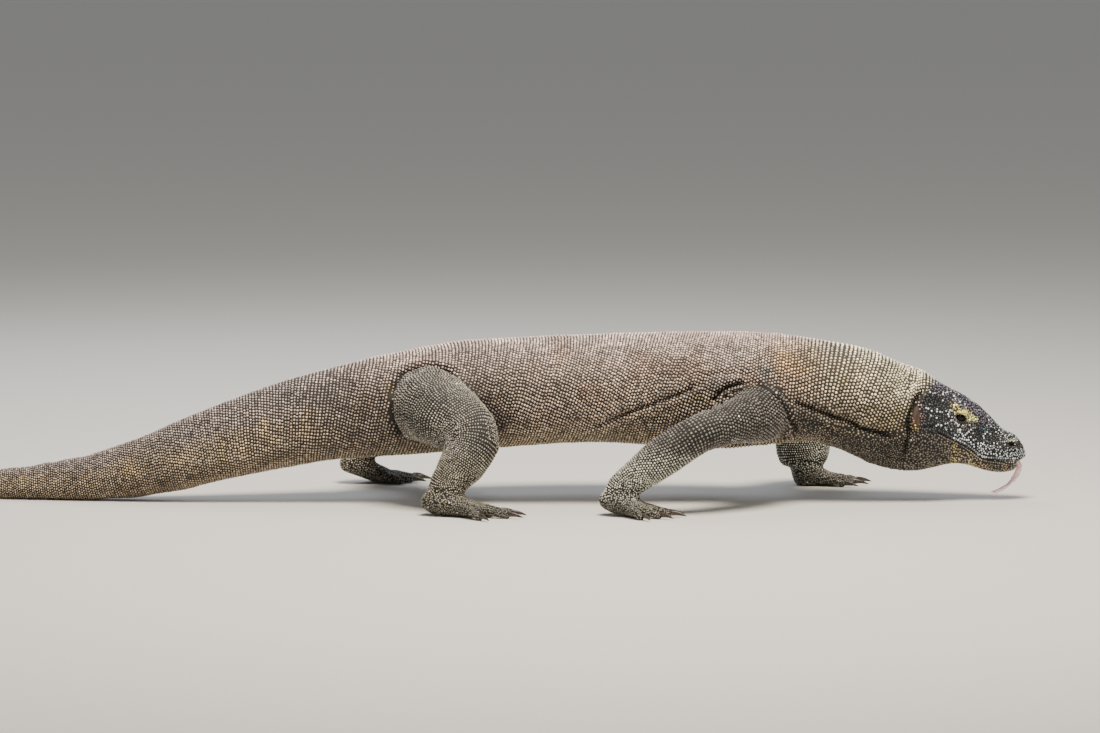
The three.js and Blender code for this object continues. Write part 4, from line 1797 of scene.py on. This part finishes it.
    def unfolded(self, roots: Roots) -> Roots:
        """The ring scales that stand clear of the ones before them.

        Args:
            roots: the ring scales.

        Returns:
            The ones kept.
        """
        tree = kd_tree(roots.place)
        kept = np.ones(len(roots.place), bool)
        for number, spot in enumerate(roots.place):
            if kept[number]:
                for _, other, _ in tree.find_range(spot, self.ring_clearance * roots.pitch[number]):
                    kept[other] &= other <= number
        return roots.part(kept)

    def bake_place(self, roots: Roots) -> Array:
        """Where each root lies on the unwrapped skin: the body above, the four legs side by side below.

        Args:
            roots: the roots.

        Returns:
            Rows of two numbers from 0 to 1.
        """
        made = np.zeros((len(roots.place), 2))
        for region in Region:
            own = roots.region == region.value
            walked, angle = region.axis.locate(roots.place[own])
            share = walked / region.axis.length()
            turn = angle / (2 * math.pi) + 0.5
            leg = region.value - 2
            body = leg < 0
            made[own, 0] = 0.01 + 0.98 * share if body else 0.01 + 0.245 * leg + 0.225 * share
            made[own, 1] = 0.36 + 0.63 * turn if body else 0.01 + 0.32 * turn
        return made

    def pieces(self) -> list[tuple[str, Roots]]:
        """The scales parted into pieces of a size that the export takes.

        Returns:
            Each piece's name and roots.
        """
        roots = self.roots()
        LOG.info("scales: %d", len(roots.place))
        made = []
        for name, numbers in (("head", (0,)), ("body", (1,)), ("forelegs", (2, 3)), ("hindlegs", (4, 5))):
            own = roots.part(np.isin(roots.region, numbers))
            order = np.argsort(-own.place[:, 0])
            count = math.ceil(len(order) / self.piece_limit)
            for number, rows in enumerate(np.array_split(order, count)):
                made.append((f"scales_{name}_{number + 1}" if count > 1 else f"scales_{name}", own.part(rows)))
        return made

    def colours(self, roots: Roots, rng: np.random.Generator) -> Rows:
        """The scales' colours: markings, pale specks, each scale a little lighter or darker, and painted shade
        in the creases.

        Args:
            roots: the scales.
            rng: the piece's random numbers.

        Returns:
            Rows of linear colour.
        """
        count = len(roots.place)
        tint = self.markings.colour_and_painted_light(roots.place, roots.limb)
        pale = rng.random(count) < self.markings.pale_chance(roots.place, roots.region, roots.limb)
        tint = mix(tint, rgb(self.markings.pale), np.where(pale, rng.uniform(*self.paleness, count), 0.0))
        light = np.exp(rng.normal(0.02, self.light_spread, count))
        tint = tint * np.clip(light, *self.light_range)[:, None]
        # painted shade in the creases
        tint = tint * self.shade(self.nearest(roots.place))
        return tint * np.where(rng.random(count) < self.dark_chance, self.dark_share, 1.0)[:, None]

    def build(self, name: str, roots: Roots) -> Object:
        """One piece of the coat.

        Args:
            name: its name.
            roots: its scales.

        Returns:
            The object.
        """
        count = len(roots.place)
        rng = np.random.default_rng(SEED + count)
        shape, faces, crown = self.bead.template()
        out = roots.out
        along = unit(roots.along - out * (roots.along * out).sum(axis=1)[:, None])
        loose = (roots.region == 0) | (roots.place[:, 2] < 50) & (roots.region > 1)
        turn = np.where(loose, self.turn_scattered, self.turn_ringed)
        spin = (rng.normal(0, 1, count) * turn)[:, None]
        ahead = along * np.cos(spin) + np.cross(out, along) * np.sin(spin)
        across = np.cross(out, ahead)
        size = roots.pitch * self.fill_at(roots) * rng.uniform(*self.sizes, count)
        stray = rng.normal(0, self.stray, (count, 2)) * roots.pitch[:, None]
        tall = self.relief(roots) * rng.uniform(*self.heights, count)
        lean = rng.normal(0, self.tilt, (count, 2))[:, 0]
        x, y, z = (shape[None, :, k, None] for k in range(3))
        points = (
            (roots.place + stray[:, :1] * ahead + stray[:, 1:] * across)[:, None, :]
            + (x * size[:, None, None]) * ahead[:, None, :]
            + (y * size[:, None, None]) * across[:, None, :]
            + (z + lean[:, None, None] * x) * tall[:, None, None] * out[:, None, :]
        )
        points[..., 2] = np.maximum(points[..., 2], self.floor)
        numbers = (faces[None] + (np.arange(count) * len(shape))[:, None, None]).reshape(-1, 3)
        obj = add_mesh(name, self.place.world(points.reshape(-1, 3)), numbers)
        paint_points(obj.data, "tint", np.repeat(self.colours(roots, rng), len(shape), axis=0))
        # how near each point is to the crown: the finish turns it into painted shade and painted highlight
        layer = obj.data.attributes.new("crown", "FLOAT", "POINT")
        layer.data.foreach_set("value", np.tile(crown, count).astype(np.float32))
        uv = self.bake_place(roots)[:, None, :] + shape[None, :, :2] * self.bake_patch
        bake = obj.data.uv_layers.new(name="OFBake")
        bake.data.foreach_set("uv", uv.reshape(-1, 2)[numbers.ravel()].astype(np.float32).ravel())
        return obj


# --- finishes


@dataclass(frozen=True)
class Painter:
    """Lays the nodes of one material and links them to its Principled shader."""

    tree: NodeTree
    shader: Node

    def add(
        self, kind: str, inputs: dict[str | int, object], output: str | int, **settings: object
    ) -> NodeSocket:
        """Adds a shader node.

        Args:
            kind: the node's type, without "ShaderNode".
            inputs: values, or sockets to link, for its inputs by name or number.
            output: the name or number of the output to read.
            **settings: the node's own properties.

        Returns:
            The output.
        """
        node = self.tree.nodes.new("ShaderNode" + kind)
        for name, value in settings.items():
            setattr(node, name, value)
        for name, value in inputs.items():
            if isinstance(value, NodeSocket):
                self.tree.links.new(value, node.inputs[name])
            else:
                node.inputs[name].default_value = value
        return node.outputs[output]

    def tint(self) -> NodeSocket:
        """The colour stored at the piece's points."""
        return self.add("VertexColor", {}, "Color", layer_name="tint")

    def speckle(self, size_mm: float, detail: float = 3.0) -> NodeSocket:
        """Noise of a real size on the object's own coordinates, as a number from 0 to 1."""
        where = self.add("TexCoord", {}, "Object")
        return self.add("TexNoise", {"Vector": where, "Scale": 1 / (size_mm * MM), "Detail": detail}, "Fac")

    def mottled(self, level: NodeSocket, *stops: tuple[float, str]) -> NodeSocket:
        """A colour that runs between two as a level rises.

        Args:
            level: a number from 0 to 1.
            *stops: the two levels, each with its colour.

        Returns:
            The colour.
        """
        colour = self.add("ValToRGB", {"Fac": level}, "Color")
        for element, (position, code) in zip(colour.node.color_ramp.elements, stops):
            element.color = linear(code)
            element.position = position
        return colour

    def colour(self, colour: NodeSocket) -> None:
        """Gives the shader its colour."""
        self.tree.links.new(colour, self.shader.inputs["Base Color"])

    def bump(self, height: NodeSocket, depth_mm: float, strength: float) -> None:
        """Gives the shader a relief of a real depth, raised by a height from 0 to 1."""
        inputs = {"Height": height, "Distance": depth_mm * MM, "Strength": strength}
        self.tree.links.new(self.add("Bump", inputs, "Normal"), self.shader.inputs["Normal"])

    def set(self, **values: object) -> None:
        """Gives the shader fixed values, by the names of its inputs with "_" for a space."""
        for name, value in values.items():
            self.shader.inputs[name.replace("_", " ")].default_value = value


@dataclass(frozen=True)
class Finish:
    """A material: its name and how it takes light."""

    name: str
    roughness: float = 0.5

    def paint(self, painter: Painter) -> None:
        """Gives the material its colour and relief."""
        raise NotImplementedError

    def material(self) -> Material:
        """The material.

        Returns:
            A new material.
        """
        made = bpy.data.materials.new(self.name)
        made.use_nodes = True
        painter = Painter(made.node_tree, next(n for n in made.node_tree.nodes if n.type == "BSDF_PRINCIPLED"))
        painter.set(Roughness=self.roughness)
        self.paint(painter)
        return made


@dataclass(frozen=True)
class Hide(Finish):
    """Dry reptile hide between the scales: the scales' colour, darker, which draws each bead's edge."""

    name: str = "reptile hide"
    roughness: float = 0.75
    share: float = 0.07
    warmth: tuple[float, float, float] = (1.0, 0.94, 0.86)

    def paint(self, painter: Painter) -> None:
        """The darkened markings with fine creases.

        Args:
            painter: the material's painter.
        """
        dim = (*(self.share * w for w in self.warmth), 1)
        inputs = {"Factor": 1.0, 6: painter.tint(), 7: dim}
        painter.colour(painter.add("Mix", inputs, 2, data_type="RGBA", blend_type="MULTIPLY"))
        painter.bump(painter.speckle(1.6), 0.6, 0.6)


@dataclass(frozen=True)
class Scale(Finish):
    """Horny bead scales: each bead painted lighter at its crown and darker at its rim, a painted highlight and
    painted shade which give the coat its grain.
    """

    name: str = "horny scales"
    roughness: float = 0.46
    # the rim's painted shade and the crown's painted highlight, as shares of the scale's colour
    rim: float = 0.1
    crown: float = 2.9

    def paint(self, painter: Painter) -> None:
        """The markings, from the painted shade of the rim to the painted highlight of the crown, with a fine
        chalky grain.

        Args:
            painter: the material's painter.
        """
        crown = painter.add("Attribute", {}, "Fac", attribute_name="crown")
        # painted shade at the rim rising to a painted highlight at the crown
        level = painter.add("MapRange", {"Value": crown, "To Min": self.rim, "To Max": self.crown}, "Result")
        grain = painter.speckle(1.1)
        chalk = {"Value": grain, "From Min": 0.3, "From Max": 0.7, "To Min": 0.86, "To Max": 1.1}
        worn = painter.add("MapRange", chalk, "Result")
        light = painter.add("Math", {0: level, 1: worn}, 0, operation="MULTIPLY")
        scaled = {0: painter.tint(), "Scale": light}
        painter.colour(painter.add("VectorMath", scaled, "Vector", operation="SCALE"))
        painter.bump(grain, 0.25, 0.5)


@dataclass(frozen=True)
class WetEye(Finish):
    """A wet eyeball: dark brown iris and round pupil under a clear, sharply shining surface."""

    name: str = "wet eye"
    roughness: float = 0.05
    specular: float = 0.2

    def paint(self, painter: Painter) -> None:
        """The eye's painted rings."""
        painter.colour(painter.tint())
        painter.set(Specular_IOR_Level=self.specular)


@dataclass(frozen=True)
class Horn(Finish):
    """Claw horn: blackish brown, streaked lengthways, with a dull polish from walking."""

    name: str = "claw horn"
    roughness: float = 0.34
    dark: str = "#211b17"
    pale: str = "#5b5046"

    def paint(self, painter: Painter) -> None:
        """Streaked horn."""
        painter.colour(painter.mottled(painter.speckle(5.0, 5.0), (0.35, self.dark), (0.8, self.pale)))
        painter.bump(painter.speckle(2.0), 0.2, 0.4)


@dataclass(frozen=True)
class TongueFlesh(Finish):
    """Tongue flesh: pale pink, wet, so that it carries a soft shine."""

    name: str = "wet tongue"
    roughness: float = 0.24
    colour: str = "#fbe0de"
    deep: str = "#e8b4b8"
    glow: float = 0.1

    def paint(self, painter: Painter) -> None:
        """Mottled pink."""
        painter.colour(painter.mottled(painter.speckle(6.0), (0.3, self.deep), (0.6, self.colour)))
        painter.set(Subsurface_Weight=self.glow)


@dataclass(frozen=True)
class Plain(Finish):
    """A plain matt studio surface."""

    name: str = "studio floor"
    roughness: float = 0.9
    colour: str = "#d9d6d0"

    def paint(self, painter: Painter) -> None:
        """One colour."""
        painter.set(Base_Color=linear(self.colour))


# --- eyes, claws, tongue


@dataclass
class Eyes:
    """The two eyeballs."""

    place: Place
    centres: dict[Side, Array]
    inset: float = 0.35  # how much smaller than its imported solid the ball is, in mm
    pupil: float = 0.30  # the pupil's and iris's edges, in radians from the pole
    iris: float = 0.62
    black: str = "#040303"
    brown: str = "#150d08"
    rim: str = "#0b0806"

    def build(self, side: Side) -> Object:
        """One eyeball, its pole looking out.

        Args:
            side: which eye.

        Returns:
            The object.
        """
        bpy.ops.object.select_all(action="DESELECT")
        bpy.ops.mesh.primitive_uv_sphere_add(segments=40, ring_count=32, radius=1.0)
        obj = bpy.context.object
        obj.name = f"eyeball_{side.name.lower()}"
        bpy.ops.object.shade_smooth()
        ball = point_array(obj.data)
        out = unit(np.array([[0.18, side.value, 0.16]]))[0]
        ahead = unit(np.cross(np.cross(out, FORWARD), out)[None])[0]
        points = ball[:, 0, None] * ahead + ball[:, 1, None] * np.cross(out, ahead) + ball[:, 2, None] * out
        write_points(obj, self.place.world(self.centres[side] + points * (EYE.radius - self.inset)))
        turn = np.arccos(np.clip(ball[:, 2], -1, 1))
        iris = (self.brown, smoothstep(turn, self.pupil, self.pupil + 0.06))
        rim = (self.rim, smoothstep(turn, self.iris, self.iris + 0.12))
        paint_points(obj.data, "tint", layered(self.black, iris, rim))
        return obj


@dataclass
class Claws:
    """The claws of one foot: curved, flattened from the sides, each set back into its toe."""

    place: Place
    rings: int = 12
    sides: int = 12
    root_back: float = 6.0
    arch: float = 2.2
    flatness: float = 0.72
    tip_radius: float = 0.25
    floor: float = 0.3

    def build(self, leg: str) -> Object:
        """One foot's five claws as one object.

        Args:
            leg: the leg's name.

        Returns:
            The object.
        """
        heel = self.place.middle(f"{leg}_foot")
        points, faces = joined([self.claw(packed(node, self.place).points, heel) for node in claw_nodes(leg)])
        return add_mesh(f"claws_{leg}", self.place.world(points), faces)

    def level_way(self, start: Array, end: Array) -> Array:
        """The level direction from one place to another."""
        return unit(((end - start) * np.array([1, 1, 0]))[None])[0]

    def claw(self, solid: Rows, heel: Array) -> Shape:
        """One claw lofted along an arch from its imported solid's base to its tip.

        Args:
            solid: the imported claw's points.
            heel: the middle of the foot.

        Returns:
            Its points and triangles.
        """
        reach = (solid - heel) @ self.level_way(heel, solid.mean(axis=0))
        base = solid[reach < reach.min() + 1.5]
        tip = solid[reach.argmax()]
        root = base.mean(axis=0)
        radius = np.linalg.norm(base - root, axis=1).max()
        way = self.level_way(root, tip)
        back = root - way * self.root_back
        back[2] = root[2] + 0.5
        t = np.linspace(0, 1, self.rings)
        rise = self.arch * np.sin(math.pi * t) * (1 - 0.3 * t)
        spine = back + (tip - back) * t[:, None] + rise[:, None] * LEVEL_UP
        thick = (radius * (1 - t**1.6) ** 0.8 + self.tip_radius)[:, None, None]
        turns = (np.arange(self.sides) * 2 * math.pi / self.sides)[None, :, None]
        sideways = (np.cos(turns) * thick * self.flatness) * np.cross(LEVEL_UP, way)
        rows = spine[:, None, :] + sideways + (np.sin(turns) * thick) * LEVEL_UP
        rows[..., 2] = np.maximum(rows[..., 2], self.floor)
        return np.concatenate([rows.reshape(-1, 3), spine[:1], tip[None]]), self.skinned()

    def skinned(self) -> Array:
        """The triangles between a claw's rings, and those that close its two ends.

        Returns:
            Rows of three point numbers.
        """
        count = self.sides
        last = self.rings * count
        pairs = [(k, (k + 1) % count) for k in range(count)]
        faces = []
        for ring in range(0, last - count, count):
            for a, b in ((ring + k, ring + after) for k, after in pairs):
                faces += [(a, b, b + count), (a, b + count, a + count)]
        for k, after in pairs:
            faces += [(after, k, last), (last - count + k, last - count + after, last + 1)]
        return np.array(faces)


@dataclass
class Tongue:
    """The forked tongue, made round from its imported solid."""

    place: Place
    swell: float = 1.3  # what rounding the solid would take off, in mm

    def build(self) -> Object:
        """The tongue.

        Returns:
            The object.
        """
        body = packed("tongue", self.place).welded()
        points = self.place.world(body.points + body.normals() * self.swell)
        obj = add_mesh("tongue_flesh", points, body.triangles)
        apply_modifier(obj, "SUBSURF", levels=2, render_levels=2)
        bpy.ops.object.shade_smooth()
        return obj


# --- studio


@dataclass(frozen=True)
class Lamp:
    """A soft square light: where it hangs and what it shines on, in metres from the animal's middle."""

    name: str
    at: tuple[float, float, float]
    size: float
    watts: float
    colour: str
    towards: tuple[float, float, float] = (0.0, 0.0, 0.0)


LAMPS = (
    Lamp("key", (0.5, -1.1, 3.4), 1.5, 265, "#fff4e4"),
    Lamp("catchlight", (0.2, -2.9, 1.5), 0.5, 9, "#ffffff", (0.8, 0.0, 0.0)),
    Lamp("rim", (-0.8, 2.2, 2.6), 2.4, 60, "#eaf1ff"),
)


@dataclass(frozen=True)
class Studio:
    """Floor, soft light and the camera's view."""

    aim: tuple[float, float, float] = (-19.0, 0.0, 253.7)  # on the camera's axis, in the animal's millimetres
    middle: tuple[float, float, float] = (-100.0, 0.0, 200.0)
    distance: float = 12.0
    elevation: float = math.radians(6)
    lens: float = 206.7
    sky: str = "#e8ebee"
    sky_strength: float = 0.36

    def build(self, place: Place) -> None:
        """Sets up the stage.

        Args:
            place: the frame's place.
        """
        bpy.ops.mesh.primitive_plane_add(size=60)
        floor = bpy.context.object
        floor.name = "floor"
        floor.data.materials.append(Plain().material())
        world = bpy.data.worlds.new("sky")
        world.use_nodes = True
        background = world.node_tree.nodes["Background"]
        background.inputs["Color"].default_value = linear(self.sky)
        background.inputs["Strength"].default_value = self.sky_strength
        bpy.context.scene.world = world
        middle = Vector(place.world(np.array(self.middle)))
        for lamp in LAMPS:
            light = bpy.data.lights.new(lamp.name, "AREA")
            light.size = lamp.size
            light.energy = lamp.watts
            light.color = linear(lamp.colour)[:3]
            self.hang(add_object(lamp.name, light), middle + Vector(lamp.at), middle + Vector(lamp.towards))
        aim = Vector(place.world(np.array(self.aim)))
        camera = bpy.data.cameras.new("camera")
        camera.lens = self.lens
        camera.sensor_width = 36
        camera.clip_end = 200
        obj = add_object("camera", camera)
        away = Vector((0, -math.cos(self.elevation), math.sin(self.elevation)))
        self.hang(obj, aim + self.distance * away, aim)
        bpy.context.scene.camera = obj

    def hang(self, obj: Object, at: Vector, towards: Vector) -> None:
        """Puts a light or camera in its place and turns it to what it looks at."""
        obj.location = at
        obj.rotation_euler = (towards - obj.location).to_track_quat("-Z", "Y").to_euler()


# --- all of it


def dress(obj: Object, finish: Finish, slot: str, *replaced: str) -> None:
    """Gives a piece its finish and its body, and hides the nodes it replaces.

    Args:
        obj: the piece.
        finish: its finish.
        slot: not used.
        *replaced: the nodes it replaces.
    """
    obj.data.materials.clear()
    obj.data.materials.append(finish.material())
    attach(obj, "root")
    if replaced:
        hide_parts(*replaced)
    LOG.info("%s: %s", obj.name, finish.name)


def main() -> None:
    """Builds the animal and its stage."""
    logging.basicConfig(level=logging.INFO, format="%(message)s")
    place = Place.from_frame()
    builder = SkinBuilder(place)
    skin_obj, skin = builder.build()
    eyes = {side: builder.eye_centre(side) for side in Side}
    coat = Coat(place, skin, Markings(), eyes, builder.carved)
    builder.thinned(skin_obj, skin)
    coat.paint_skin(skin_obj)
    only(skin_obj)
    bpy.ops.object.shade_smooth()
    dress(skin_obj, Hide(), "body_hide", *FLESH_NODES)
    slots = {"head": "head_hide", "body": "body_hide", "forelegs": "leg_hide", "hindlegs": "leg_hide"}
    for name, roots in coat.pieces():
        dress(coat.build(name, roots), Scale(), slots[name.split("_")[1]])
    for side in Side:
        dress(Eyes(place, eyes).build(side), WetEye(), "eye_surface", f"eye_{side.name.lower()}")
    for leg in LEG_STOPS:
        dress(Claws(place).build(leg), Horn(), "claw_horn", *claw_nodes(leg))
    dress(Tongue(place).build(), TongueFlesh(), "tongue_flesh", "tongue")
    Studio().build(place)


if __name__ == "__main__":
    main()
